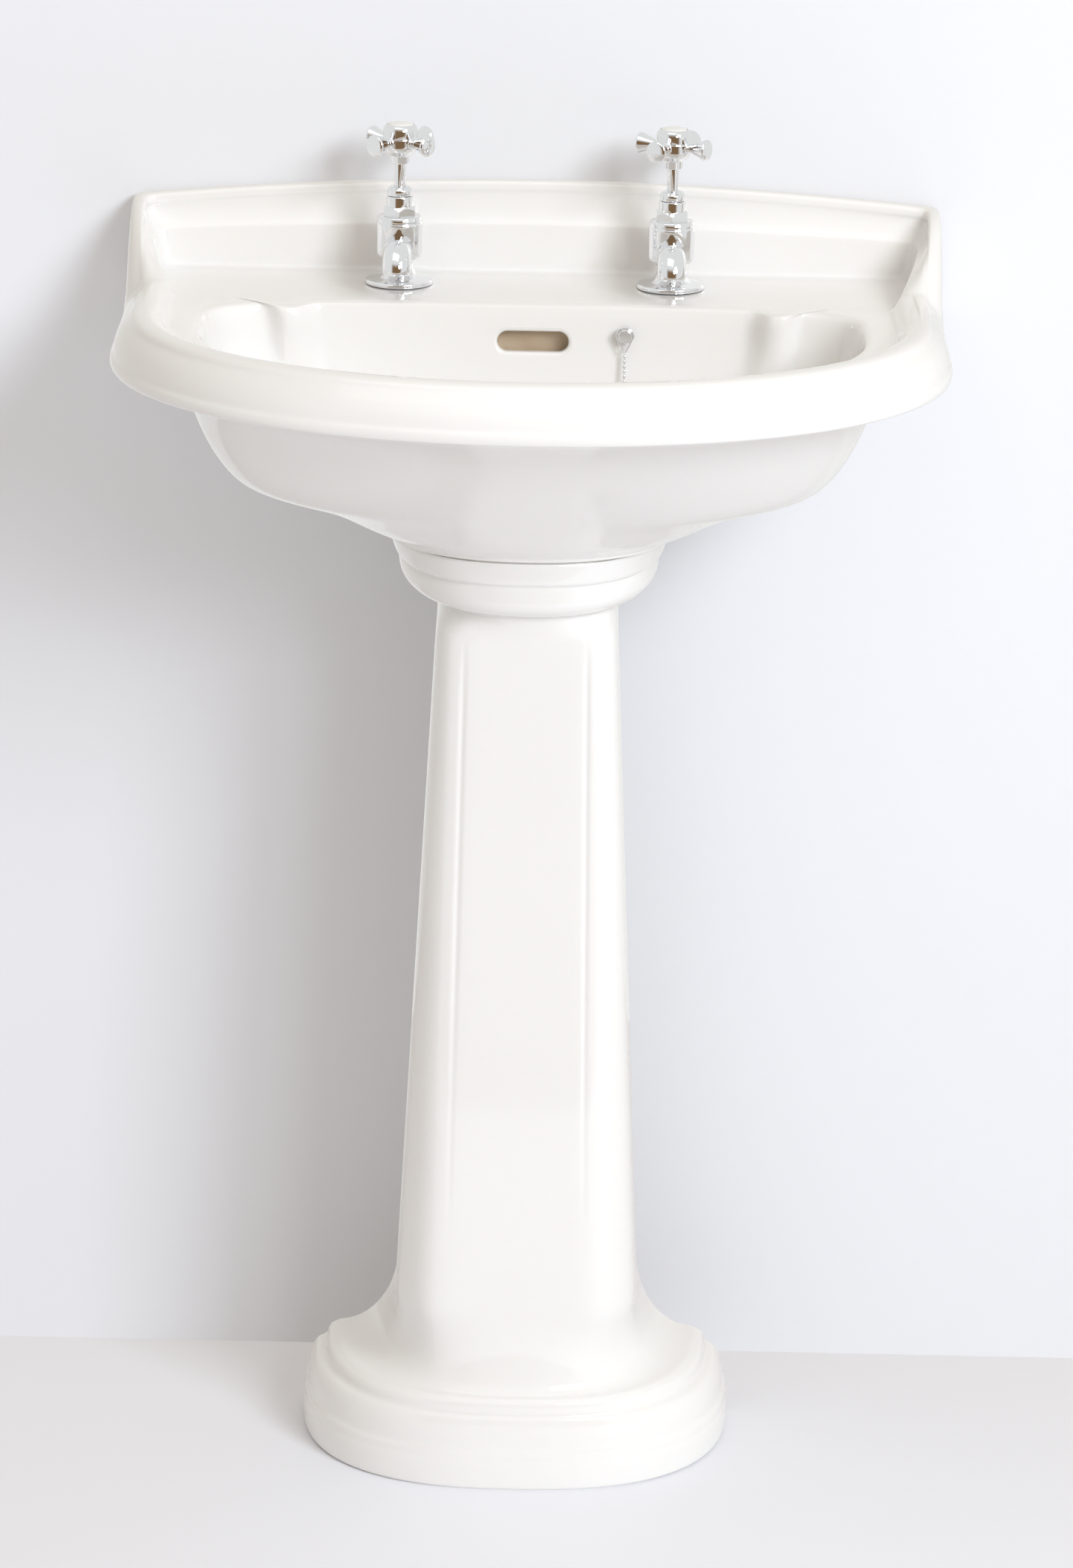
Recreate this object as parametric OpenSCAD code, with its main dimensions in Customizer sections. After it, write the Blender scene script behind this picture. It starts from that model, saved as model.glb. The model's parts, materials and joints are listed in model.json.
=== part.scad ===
// Two-tap pedestal washbasin: vitreous china basin and pedestal, rising-spindle
// crosshead taps, slotted waste with plug and chain, and a bottle trap.
// +X is the viewer's right, +Y points to the wall, +Z is up.
// The origin is on the floor, under the middle of the basin.

/* [Basin] */
// Width of the basin
basin_w = 600; // [560:5:640]
// Depth of the basin, wall to front rim
basin_d = 450; // [430:5:470]
// Height of the deck that carries the taps
deck_z = 872; // [860:1:885]
// Height of the rolled rim above the deck
rim_rise = 12; // [8:1:15]
// Height of the splashback above the deck, in the middle
splash_rise = 68; // [60:1:80]
// Height of the splashback above the deck, at the corners
corner_rise = 53; // [45:1:60]
// Distance from the deck down to the lower edge of the rim
rim_depth = 28; // [26:1:31]

/* [Pedestal] */
// Height of the seat on which the basin rests
seat_z = 714; // [712:1:716]
// Half width of the pedestal's head
head_half = 103; // [100:1:106]
// Half width of the column just under the head
neck_half = 66; // [63:1:69]
// Half width of the column just above the base
shaft_half = 91; // [88:1:94]
// Half width of the plinth
plinth_half = 163; // [158:1:168]
// Wall thickness of the pedestal
pedestal_wall = 13; // [11:1:15]

/* [Taps] */
// Distance between the two tap holes
tap_spacing = 200; // [190:1:210]
// Distance from the wall to the tap axes
tap_setback = 58; // [54:1:62]
// Angle of the left-hand crosshead
hot_turn = -41; // [-90:1:90]
// Angle of the right-hand crosshead
cold_turn = -29; // [-90:1:90]

/* [Waste] */
// Distance from the wall to the waste
waste_setback = 190; // [185:1:195]
// Width of the overflow slot
overflow_w = 52; // [46:1:56]
// Height of the overflow slot
overflow_h = 15; // [12:1:16]
// Distance from the basin's middle to the chain stay
stay_x = 67; // [60:1:70]
// Diameter of the ball chain
chain_d = 3; // [2.6:0.1:3.2]

/* [Hidden] */
wall_y = basin_d / 2;
front_y = -basin_d / 2;
half_w = basin_w / 2;
centre_y = 20;
waste_y = wall_y - waste_setback;
tap_y = wall_y - tap_setback;
tap_x = tap_spacing / 2;
rim_z = deck_z + rim_rise;
top_z = deck_z + splash_rise;
under_z = deck_z - rim_depth;
bowl_floor_z = deck_z - 134;
deck_thickness = 17;
running = 0.05;
sit = 0.1;
fine = 64;

china = "ivory";
chrome = "silver";
rubber = "dimgray";
plastic = "whitesmoke";
brass = "goldenrod";

// ---------- shared shapes ----------

function mix(a, b, t) = a + (b - a) * t;
function clamp01(t) = min(1, max(0, t));

// Radius of a superellipse about its centre in the direction (c, s)
function super_r(c, s, a, b, n) = pow(pow(abs(c / a), n) + pow(abs(s / b), n), -1 / n);

// Two triangles for each cell of a grid of rows x cols points, wound for an outward face.
// Columns always close on themselves; rows close too when wrap is true.
function grid_faces(rows, cols, wrap) = [
    for (j = [0 : wrap ? rows - 1 : rows - 2]) for (i = [0 : cols - 1])
        let (j2 = (j + 1) % rows, i2 = (i + 1) % cols)
        for (f = [[j * cols + i, j2 * cols + i, j2 * cols + i2],
                  [j * cols + i, j2 * cols + i2, j * cols + i2]]) f
];

module tube(outer, inner, z0, z1) {
    difference() {
        translate([0, 0, z0]) cylinder(r = outer, h = z1 - z0, $fn = fine);
        translate([0, 0, z0 - 1]) cylinder(r = inner, h = z1 - z0 + 2, $fn = fine);
    }
}

// Hexagon nut standing on z0, with its corners turned down at both ends
module hex_nut(across, bore, z0, z1) {
    corner = across / sqrt(3);
    turn = (corner - across / 2) * 0.6;
    difference() {
        intersection() {
            translate([0, 0, z0]) cylinder(r = corner, h = z1 - z0, $fn = 6);
            rotate_extrude($fn = fine)
                polygon([[0, z0], [corner - turn, z0], [corner, z0 + turn * 0.6],
                         [corner, z1 - turn * 0.6], [corner - turn, z1], [0, z1]]);
        }
        translate([0, 0, z0 - 1]) cylinder(r = bore, h = z1 - z0 + 2, $fn = fine);
    }
}

module at_waste() { translate([0, waste_y, 0]) children(); }

// ---------- basin ----------

// Angles of the points round each ring, as seen from above: back half, then front half.
// They meet the back corners exactly.
back_corner = atan2(wall_y - centre_y, half_w);
back_steps = 12;
side_steps = 14;
front_steps = 20;
ring_angles = concat(
    [for (i = [0 : side_steps - 1]) mix(0, back_corner, i / side_steps)],
    [for (i = [0 : 2 * back_steps - 1]) mix(back_corner, 180 - back_corner, i / (2 * back_steps))],
    [for (i = [0 : side_steps - 1]) mix(180 - back_corner, 180, i / side_steps)],
    [for (i = [0 : 2 * front_steps - 1]) mix(180, 360, i / (2 * front_steps))]
);
ring_n = len(ring_angles);

// One ring: a closed outline about (0, cy) with its own half width, front, back and squareness
function ring(z, half, cy, front, back, n_front, n_back) = [
    for (a = ring_angles)
        let (c = cos(a), s = sin(a))
        let (r = s < 0 ? super_r(c, s, half, cy - front, n_front)
                       : super_r(c, s, half, back - cy, n_back))
        [r * c, cy + r * s, z]
];

// The rim's outline, brought in by the given inset
function rim_xy(a, inset) =
    let (c = cos(a), s = sin(a))
    let (r = s < 0 ? super_r(c, s, half_w - inset, centre_y - front_y - inset, 2.1)
                   : super_r(c, s, half_w - inset, wall_y - centre_y - inset, 60))
    [r * c, centre_y + r * s];

// How far the splashback has risen at a point of the rim: 1 along the wall, 0 in front of the wings
wing_start_y = 110;
function wing(a) =
    let (y = rim_xy(a, 0)[1])
    sin(90 * clamp01((y - wing_start_y) / (wall_y - wing_start_y)));

// Arched top: higher in the middle of the splashback than at its corners
function arch(a) = 1 - pow(clamp01(abs(rim_xy(a, 0)[0]) / half_w), 2);
function splash_top(a) = mix(corner_rise, splash_rise, arch(a));

// Section of the rolled rim: [inset, height above the deck]
rim_section = [
    [50, -rim_depth - 3], [8, -rim_depth], [2, -rim_depth + 0.5], [0, -rim_depth + 3],
    [0, -19], [2, -17], [2.5, -14], [4, -8], [8, 0], [14, 6], [15.5, 8], [18, 11],
    [22, rim_rise], [28, rim_rise], [33, rim_rise - 2], [36.5, rim_rise - 5.5], [38.5, 3.5],
    [41, 0.8], [46, 0]
];

// Section of the splashback: [inset, share of the splashback's height, height above that]
splash_section = [
    [50, 0, -rim_depth - 3], [8, 0, -rim_depth], [2, 0, -rim_depth + 0.5], [0, 0, -rim_depth + 3],
    [0, 0, 0], [0, 0.5, 0], [0, 1, -6], [0.3, 1, -1.5], [2, 1, 0], [8, 1, 0], [10, 1, -2],
    [10.5, 1, -7], [8.5, 1, -9], [14, 0.54, 3], [17, 0.54, 0.5], [17.5, 0.54, -2.5],
    [21, 0, 6], [23, 0, 1.5], [29, 0, 0]
];

function rim_ring(k) = [
    for (a = ring_angles)
        let (w = wing(a), r = rim_section[k], s = splash_section[k])
        let (xy = rim_xy(a, mix(r[0], s[0], w)))
        [xy[0], xy[1], deck_z + mix(r[1], s[1] * splash_top(a) + s[2], w)]
];

// Edge of the bowl in the deck: a small lobe in each back corner and a cusp beside it
bowl_half = 240;
bowl_front = -165;
bowl_back = 112;
cusp_angle = 19;
cusp_depth = 13;
function cusp(a) = cusp_depth * exp(-pow((abs(90 - a) - (90 - cusp_angle)) / 3.2, 2));

// Bowl: t runs from 0 at the waste to 1 at the deck
function bowl_ring(t) =
    let (f = pow(sin(90 * t), 0.91), z = mix(deck_z - 10, bowl_floor_z, pow(cos(90 * t), 0.91)))
    let (half = mix(36, bowl_half - 6, f), front = mix(waste_y - 34, bowl_front + 6, pow(f, 2.5)),
         back = mix(waste_y + 34, bowl_back - 3, pow(f, 1.4)), cy = mix(waste_y, centre_y, t))
    bowl_edge(z, half, cy, front, back, mix(2, 2.1, t), mix(2, 4, t), t * t);

function bowl_edge(z, half, cy, front, back, n_front, n_back, cusps) = [
    for (i = [0 : ring_n - 1])
        let (p = ring(z, half, cy, front, back, n_front, n_back)[i], a = ring_angles[i])
        let (c = cusps * cusp(a) * (a < 180 ? 1 : 0))
        [p[0] - c * cos(a), p[1] - c * sin(a), p[2]]
];

// Underside, up from the seat: a narrow upright band, a hollow, a shallow cone and the round of
// the bowl. [height above the seat, half width, front]
foot_half = 104.5;
under_half = 250;
underside = soften([
    [0, foot_half, -36.5], [3, foot_half, -36.5], [5.5, 110, -40], [9, 120, -46], [16, 133, -56],
    [28, 155, -71], [36, 184, -81], [41, 206, -87], [54, 220, -103], [83, 237, -135],
    [127, under_half, -175]
]);

// The same path with its corners cut: twice as many points
function soften(p) =
    let (n = len(p) - 1)
    concat([p[0]],
           [for (i = [1 : n - 1]) each [(p[i - 1] + p[i]) / 2, (p[i - 1] + 6 * p[i] + p[i + 1]) / 8]],
           [(p[n - 1] + p[n]) / 2, p[n]]);

function under_ring(s) =
    let (e = (s[1] - foot_half) / (under_half - foot_half))
    ring(seat_z + s[0], s[1], mix(60, centre_y, e), s[2], mix(131, 148, e), mix(2.2, 2.1, e),
         mix(5, 8, e));

bowl_rings = 11;
basin_rings = concat(
    [ring(seat_z, 18, waste_y, waste_y - 18, waste_y + 18, 2, 2)],
    [for (k = [0 : len(underside) - 2]) under_ring(underside[k])],
    [for (k = [0 : len(rim_section) - 1]) rim_ring(k)],
    [bowl_edge(deck_z - 1, bowl_half, centre_y, bowl_front, bowl_back, 2.1, 4, 1)],
    [bowl_edge(deck_z - 4, bowl_half - 3, centre_y, bowl_front + 3, bowl_back - 2, 2.1, 4, 1)],
    [for (k = [bowl_rings : -1 : 0]) bowl_ring(k / bowl_rings)],
    [ring(bowl_floor_z, 18, waste_y, waste_y - 18, waste_y + 18, 2, 2)]
);

module china_shell() {
    polyhedron(points = [for (r = basin_rings) for (p = r) p],
               faces = grid_faces(len(basin_rings), ring_n, true));
}

// Strip at the back that the wall fixings go through
apron_half = 140;
apron_bottom = 762;
apron_thick = 14;
apron_hole_x = 110;
apron_hole_z = 790;
apron_hole_r = 8;
web_thick = 12;
module apron() {
    translate([-apron_half, wall_y - apron_thick, apron_bottom])
        cube([2 * apron_half, apron_thick, deck_z - deck_thickness - apron_bottom + 2]);
    for (side = [-1, 1])
        translate([side * (apron_half - web_thick / 2) - web_thick / 2, 110, apron_bottom])
            cube([web_thick, wall_y - 111, deck_z - deck_thickness - apron_bottom + 2]);
}

// Hollow under the deck, in front of the apron
module deck_recess() {
    translate([-apron_half + web_thick, 146, apron_bottom - 20])
        cube([2 * (apron_half - web_thick), wall_y - apron_thick - 146,
              deck_z - deck_thickness - apron_bottom + 20]);
}

overflow_z = deck_z - 30;
duct_front = 114;
duct_depth = 12;
duct_foot = seat_z + 10;
duct_roof = overflow_z + overflow_h / 2;
module overflow_slot() {
    translate([0, duct_front + 2, overflow_z]) rotate([90, 0, 0])
        for (side = [-1, 1])
            translate([side * (overflow_w - overflow_h) / 2, 0, 0])
                cylinder(d = overflow_h, h = 40, $fn = 48);
    translate([-(overflow_w - overflow_h) / 2, duct_front - 38, duct_roof - overflow_h])
        cube([overflow_w - overflow_h, 40, overflow_h]);
}

// Duct behind the bowl, from the overflow down to the slots in the waste
duct_half = 20;
module overflow_duct() {
    translate([-overflow_w / 2, duct_front, duct_roof - 30]) cube([overflow_w, duct_depth, 30]);
    translate([-duct_half, duct_front, duct_foot])
        cube([2 * duct_half, duct_depth, duct_roof - duct_foot - 10]);
    translate([-12, waste_y, duct_foot]) cube([24, duct_front + duct_depth - waste_y, 9]);
}

waste_hole_r = 22.5;
waste_rebate_r = 33;
waste_rebate_z = bowl_floor_z - 3;
tap_hole_r = 14;
stay_hole_r = 3.5;
stay_z = deck_z - 23;
module basin() {
    color(china) difference() {
        union() {
            china_shell();
            apron();
        }
        deck_recess();
        at_waste() translate([0, 0, seat_z - 20])
            cylinder(r = waste_hole_r, h = 60, $fn = fine);
        at_waste() translate([0, 0, waste_rebate_z])
            cylinder(r = waste_rebate_r, h = 12, $fn = fine);
        for (side = [-1, 1]) {
            translate([side * tap_x, tap_y, deck_z - 60])
                cylinder(r = tap_hole_r, h = 80, $fn = fine);
            translate([side * apron_hole_x, wall_y + 5, apron_hole_z]) rotate([90, 0, 0])
                cylinder(r = apron_hole_r, h = 40, $fn = 48);
        }
        overflow_slot();
        overflow_duct();
        translate([stay_x, wall_y - 40, stay_z]) rotate([90, 0, 0])
            cylinder(r = stay_hole_r, h = 120, $fn = 32);
        translate([stay_x, 146, stay_z]) rotate([90, 0, 0])
            cylinder(r = 9, h = 28, $fn = 48);
    }
}

// ---------- pedestal ----------

// A quarter round from one height and half width to another. It sets off upright and ends level,
// or sets off level and ends upright.
function quarter(z0, r0, z1, r1, steps, upright) = [
    for (i = [1 : steps])
        let (a = 90 * i / steps)
        upright ? [mix(z0, z1, sin(a)), mix(r0, r1, 1 - cos(a))]
                : [mix(z0, z1, 1 - cos(a)), mix(r0, r1, sin(a))]
];

// Half width at each height, from the floor up
base_top = 131;
neck_z = 650;
bulge_z = 670;
pedestal_top = seat_z - 1.5;
pedestal_profile = concat(
    [[0, plinth_half - 1], [2, plinth_half], [21, plinth_half], [23, plinth_half - 1.5],
     [30, plinth_half - 1.5], [32, plinth_half - 4]],
    quarter(32, plinth_half - 4, 57, plinth_half - 15, 4, true),
    [[59, plinth_half - 18]],
    quarter(59, plinth_half - 18, 68, plinth_half - 24, 3, true),
    [[70, plinth_half - 27]],
    quarter(70, plinth_half - 27, base_top, shaft_half, 8, false),
    [for (i = [1 : 5]) [mix(base_top, neck_z, i / 5), mix(shaft_half, neck_half, i / 5)]],
    quarter(neck_z, neck_half, bulge_z - 1, neck_half + 7, 4, true),
    quarter(bulge_z, neck_half + 9, bulge_z + 16, head_half - 7.5, 6, false),
    [[bulge_z + 22, head_half - 7], [bulge_z + 24.5, head_half - 9], [bulge_z + 26, head_half - 5],
     [bulge_z + 27.5, head_half - 3.5], [bulge_z + 36, head_half - 1], [pedestal_top - 2, head_half],
     [pedestal_top, head_half - 1.5]]
);

// Front face and back edge that go with a half width, and how wide the flat front panel is
function in_base(z) = z < base_top;
function in_head(z) = z > neck_z;
function head_share(r) = (r - neck_half) / (head_half - neck_half);
function base_share(r) = (r - shaft_half) / (plinth_half - shaft_half);
function shaft_share(z) = clamp01((neck_z - z) / (neck_z - base_top));
function ped_front(z, r) =
    in_head(z) ? mix(-14, -35, head_share(r))
    : in_base(z) ? mix(-24, -48, base_share(r)) : mix(-14, -24, shaft_share(z));
function ped_panel(z, r) = in_head(z) ? mix(54, 76, head_share(r)) : mix(54, 67, shaft_share(z));
function ped_back(z, r) = in_head(z) ? mix(110, 130, head_share(r)) : 110;
function softness(z) = in_head(z) ? clamp01((z - neck_z) / 20) : clamp01((base_top - z) / 55);

pedestal_centre = 105;
panel_sharpness = 24;
side_points = 4;
front_points = 36;

// Half octagon with softened corners: front panel, two canted panels and the sides
cant = [0.79, 0.61];
function panel_r(c, s, half, front, panel) =
    let (d = [abs(c) / half, -s / front,
              (abs(c) * cant[0] - s * cant[1]) / (cant[0] * panel + cant[1] * front)])
    pow(pow(d[0], panel_sharpness) + pow(d[1], panel_sharpness) + pow(d[2], panel_sharpness),
        -1 / panel_sharpness);

// Plan of the pedestal at one height, from the back left, round the front, to the back right.
// The column is panelled; the base and the head are rounded Ds.
function ped_plan(z, half, front, panel, back, soft) = concat(
    [for (i = [0 : side_points - 1]) [-half, mix(back, pedestal_centre, i / side_points), z]],
    [for (i = [0 : front_points])
        let (a = 180 + 180 * i / front_points, c = cos(a), s = sin(a), depth = pedestal_centre - front)
        let (r = mix(panel_r(c, min(s, 0), half, depth, panel), super_r(c, s, half, depth, 2.5), soft))
        [r * c, pedestal_centre + r * s, z]],
    [for (i = [1 : side_points]) [half, mix(pedestal_centre, back, i / side_points), z]]
);

function reversed(list) = [for (i = [len(list) - 1 : -1 : 0]) list[i]];
function ped_ring(z, r) =
    let (front = ped_front(z, r), panel = ped_panel(z, r), back = ped_back(z, r), t = pedestal_wall)
    let (soft = softness(z))
    concat(ped_plan(z, r, front, panel, back, soft),
           reversed(ped_plan(z, r - t, front + t, panel - t * 0.5, back, soft)));

ped_cols = 2 * (front_points + 1 + 2 * side_points);
function cap(first, up) = [
    for (i = [0 : ped_cols / 2 - 2])
        let (a = first + i, b = first + i + 1, c = first + ped_cols - 2 - i, d = first + ped_cols - 1 - i)
        for (f = up ? [[a, c, b], [a, d, c]] : [[a, b, c], [a, c, d]]) f
];

foot_screw_x = 118;
foot_screw_y = 88;
foot_thick = 12;
foot_w = 44;
foot_d = 34;
foot_reach = 14;
module pedestal() {
    rows = len(pedestal_profile);
    color(china) difference() {
        union() {
            polyhedron(points = [for (p = pedestal_profile) for (q = ped_ring(p[0], p[1])) q],
                       faces = concat(grid_faces(rows, ped_cols, false), cap(0, false),
                                      cap((rows - 1) * ped_cols, true)));
            for (side = [-1, 1])
                translate([side * (foot_screw_x + foot_reach) - foot_w / 2, foot_screw_y - foot_d / 2, 0])
                    cube([foot_w, foot_d, foot_thick]);
        }
        for (side = [-1, 1])
            translate([side * foot_screw_x, foot_screw_y, -1]) cylinder(r = 4.5, h = 40, $fn = 32);
    }
}

// Soft strip between the pedestal and the basin
module pedestal_seal() {
    r = head_half - 4;
    plan = ped_plan(0, r, ped_front(700, r), ped_panel(700, r), 125, 1);
    inner = ped_plan(0, r - 6, ped_front(700, r) + 6, ped_panel(700, r) - 3, 125, 1);
    color(plastic) translate([0, 0, pedestal_top])
        linear_extrude(height = seat_z - pedestal_top)
            polygon([for (p = concat(plan, reversed(inner))) [p[0], p[1]]]);
}

// ---------- fixings ----------

module at_wall_holes() {
    for (side = [-1, 1])
        translate([side * apron_hole_x, wall_y, apron_hole_z]) rotate([90, 0, 0]) children();
}

module wall_studs() {
    color(chrome) at_wall_holes() translate([0, 0, 0.5]) cylinder(d = 10, h = 33.5, $fn = 48);
}

module wall_stud_sleeves() {
    color(plastic) at_wall_holes() {
        tube(apron_hole_r - sit, 5 + sit, 0, apron_thick);
        tube(14, 5 + sit, apron_thick, apron_thick + 3);
    }
}

module wall_stud_nuts() {
    color(chrome) at_wall_holes() hex_nut(17, 5 + running, apron_thick + 3, apron_thick + 11);
}

module at_foot_holes() {
    for (side = [-1, 1]) translate([side * foot_screw_x, foot_screw_y, 0]) children();
}

module floor_screws() {
    color(chrome) at_foot_holes() {
        translate([0, 0, 0.5]) cylinder(d = 6, h = foot_thick + 1.5, $fn = 32);
        translate([0, 0, foot_thick + 2]) cylinder(d1 = 12, d2 = 8, h = 4, $fn = 32);
    }
}

module floor_screw_washers() {
    color(plastic) at_foot_holes() {
        tube(4.5 - sit, 3, 2, foot_thick);
        tube(8, 3, foot_thick, foot_thick + 2);
    }
}

// ---------- waste ----------

waste_tube_r = 20.9;
waste_bore_r = 17.5;
waste_end_z = 648;
flange_top = bowl_floor_z + 0.4;
flange_bottom = flange_top - 2.4;
plug_seat_r = 21;
module waste_body() {
    color(chrome) at_waste() difference() {
        rotate_extrude($fn = fine)
            polygon([[waste_bore_r, waste_end_z], [waste_tube_r, waste_end_z],
                     [waste_tube_r, flange_bottom - 5], [waste_tube_r + 1.4, flange_bottom - 3],
                     [waste_tube_r + 1.4, flange_bottom], [waste_rebate_r - 1, flange_bottom],
                     [waste_rebate_r - 1, flange_top - 1],
                     [waste_rebate_r - 2, flange_top], [plug_seat_r + 1.6, flange_top],
                     [plug_seat_r - 1.4, flange_top - 9], [plug_seat_r - 2, flange_top - 10],
                     [waste_bore_r, flange_top - 10]]);
        for (turn = [0, 90])
            rotate([0, 0, turn]) translate([-30, -6, duct_foot + 1]) cube([60, 12, 7]);
    }
}

module waste_flange_seal() {
    color(rubber) at_waste() tube(waste_rebate_r - 1.5, 23, waste_rebate_z, flange_bottom);
}

module waste_under_seal() {
    color(rubber) at_waste() tube(31, waste_tube_r + sit, seat_z - 5, seat_z);
}

module waste_backnut() {
    color(brass) at_waste() {
        hex_nut(54, waste_tube_r, seat_z - 17, seat_z - 7);
        tube(31, waste_tube_r, seat_z - 7, seat_z - 5);
    }
}

plug_lift_gap = 0.3;
module plug_body() {
    color(chrome) at_waste() rotate_extrude($fn = fine)
        polygon([[0, flange_top - 6], [15, flange_top - 6], [17, flange_top - 4.5], [17, flange_top - 1],
                 [20, flange_top - 0.6], [20, flange_top + 0.8], [17, flange_top + 1.6],
                 [5, flange_top + 2.4], [3.2, flange_top + 3], [2.4, flange_top + 5], [3, flange_top + 8],
                 [1.5, flange_top + 9.5], [0, flange_top + 9.8]]);
}

module plug_seal() {
    color(rubber) at_waste() rotate_extrude($fn = fine)
        polygon([[17.05, flange_top - 4.5], [19.6 - plug_lift_gap, flange_top - 7.5],
                 [plug_seat_r + 0.9 - plug_lift_gap, flange_top - 1.2],
                 [19.8, flange_top - 0.72], [17.05, flange_top - 1.1]]);
}

// Split ring through the plug's post, lying over to the chain's side
ring_wire = 0.9;
ring_r = 11;
ring_z = flange_top + 5;
module plug_ring() {
    color(chrome) translate([ring_r + 2, waste_y, ring_z])
        rotate_extrude($fn = fine) translate([ring_r, 0, 0]) circle(r = ring_wire, $fn = 16);
}

// ---------- chain ----------

// Route of the ball chain: down the back wall of the bowl, then lying in the bottom of the bowl
chain_route = [
    [67, 102, 834], [67, 101, 826], [67, 98, 812], [67, 95, 796], [66, 90, 780], [64, 83, 764],
    [60, 75, 754], [54, 62, 748], [52, 48, 745], [56, 34, 745], [61, 22, 746], [61, 10, 747],
    [52, 0, 747], [40, -3, 746], [28, -3, 744], [20, 1, 743], [20, 8, 742], [24, 15, 742],
    [27, 22, 742], [28, 29, 743]
];
chain_sides = 8;
function unit(v) = v / norm(v);
function chain_dir(i) =
    unit(chain_route[min(i + 1, len(chain_route) - 1)] - chain_route[max(i - 1, 0)]);
function chain_ring(i) =
    let (d = chain_dir(i), side = unit(cross(d, abs(d[2]) > 0.8 ? [0, 1, 0] : [0, 0, 1])),
         up = cross(d, side))
    [for (k = [0 : chain_sides - 1])
        let (a = 360 * k / chain_sides)
        chain_route[i] + chain_d / 2 * (cos(a) * side + sin(a) * up)];
module plug_chain() {
    rows = len(chain_route);
    last = (rows - 1) * chain_sides;
    color(chrome) polyhedron(
        points = [for (i = [0 : rows - 1]) for (p = chain_ring(i)) p],
        faces = concat(grid_faces(rows, chain_sides, false),
                       [[for (k = [0 : chain_sides - 1]) k]],
                       [[for (k = [chain_sides - 1 : -1 : 0]) last + k]]));
}

stay_wall_y = 107;
stay_head = 4;
module at_stay() { translate([stay_x, stay_wall_y, stay_z]) rotate([90, 0, 0]) children(); }

module chain_stay() {
    color(chrome) at_stay() {
        rotate_extrude($fn = 48)
            polygon([[0, 1], [6.5, 1], [6.5, 2], [5.5, 3.2], [3, stay_head], [2, stay_head + 1],
                     [2, stay_head + 3], [0, stay_head + 3.6]]);
        translate([0, 0, -30]) cylinder(r = 2.5, h = 31, $fn = 32);
    }
}

module chain_stay_washer() { color(rubber) at_stay() tube(5.5, 2.5, -0.5, 1); }

module chain_stay_nut() { color(chrome) at_stay() hex_nut(8, 2.5, -19, -14); }

// Wire loop from the stay down to the first ball
module chain_shackle() {
    wire = 0.8;
    loop_y = stay_wall_y - stay_head - 2;
    color(chrome) {
        translate([stay_x, loop_y, stay_z]) rotate([90, 0, 0])
            rotate_extrude(angle = 180, $fn = 48) translate([3.4, 0]) circle(r = wire, $fn = 12);
        for (side = [-1, 1])
            translate([stay_x + side * 3.4, loop_y, stay_z])
                rotate([180, side * 17, 0]) cylinder(r = wire, h = 11.5, $fn = 12);
        translate([stay_x, loop_y + 0.5, stay_z - 14.8]) cylinder(r = 1.7, h = 4.8, $fn = 24);
    }
}

// ---------- trap ----------

trap_top = 676;
trap_bottom = 520;
trap_r = 29;
outlet_z = 640;
outlet_r = 17.5;
pipe_bore_r = 16;
pipe_free = 125;
module trap_inlet_seal() { color(rubber) at_waste() tube(24, waste_tube_r + sit, trap_top, trap_top + 4); }

module trap_inlet_nut() {
    color(plastic) at_waste() difference() {
        union() {
            translate([0, 0, trap_top - 14]) cylinder(r = 28, h = 20, $fn = 10);
            translate([0, 0, trap_top + 6]) cylinder(r1 = 27, r2 = 24, h = 3, $fn = fine);
        }
        translate([0, 0, trap_top - 15]) cylinder(r = 25, h = 19.5, $fn = fine);
        translate([0, 0, trap_top - 1]) cylinder(r = waste_tube_r + 0.4, h = 20, $fn = fine);
    }
}

module trap_body() {
    color(plastic) difference() {
        union() {
            at_waste() {
                translate([0, 0, 612]) cylinder(r = trap_r, h = 46, $fn = fine);
                translate([0, 0, 600]) cylinder(r = trap_r - 3, h = 14, $fn = fine);
                translate([0, 0, 656]) cylinder(r = 24.8, h = trap_top - 656, $fn = fine);
            }
            translate([0, waste_y, outlet_z]) rotate([-90, 0, 0]) cylinder(r = 21.5, h = 52, $fn = fine);
        }
        at_waste() {
            translate([0, 0, 599]) cylinder(r = trap_r - 5.5, h = 52, $fn = fine);
            translate([0, 0, 640]) cylinder(r = waste_tube_r + 0.2, h = 50, $fn = fine);
        }
        translate([0, waste_y + 15, outlet_z]) rotate([-90, 0, 0])
            cylinder(r = pipe_bore_r, h = 40, $fn = fine);
        translate([0, waste_y + 34, outlet_z]) rotate([-90, 0, 0])
            cylinder(r = outlet_r + 0.2, h = 40, $fn = fine);
    }
}

// Tube that carries the water down below the level of the outlet
module trap_dip_tube() {
    color(plastic) at_waste() {
        tube(16, 14, trap_bottom + 22, 646);
        tube(waste_tube_r - 0.1, 14, 646, waste_end_z);
    }
}

module trap_cup() {
    color(plastic) at_waste() difference() {
        rotate_extrude($fn = fine)
            polygon([[0, trap_bottom], [14, trap_bottom], [22, trap_bottom + 4], [26, trap_bottom + 12],
                     [trap_r, trap_bottom + 60], [trap_r + 1, 590], [trap_r + 1, 610],
                     [trap_r - 2.8, 610], [trap_r - 2.8, 598],
                     [trap_r - 4, 596], [22, trap_bottom + 14], [12, trap_bottom + 4],
                     [0, trap_bottom + 4]]);
        for (turn = [0 : 30 : 330])
            rotate([0, 0, turn]) translate([trap_r + 2, 0, 588]) cylinder(r = 2, h = 30, $fn = 16);
    }
}

module trap_cup_seal() { color(rubber) at_waste() tube(trap_r - 0.5, trap_r - 3, 610, 612); }

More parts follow.
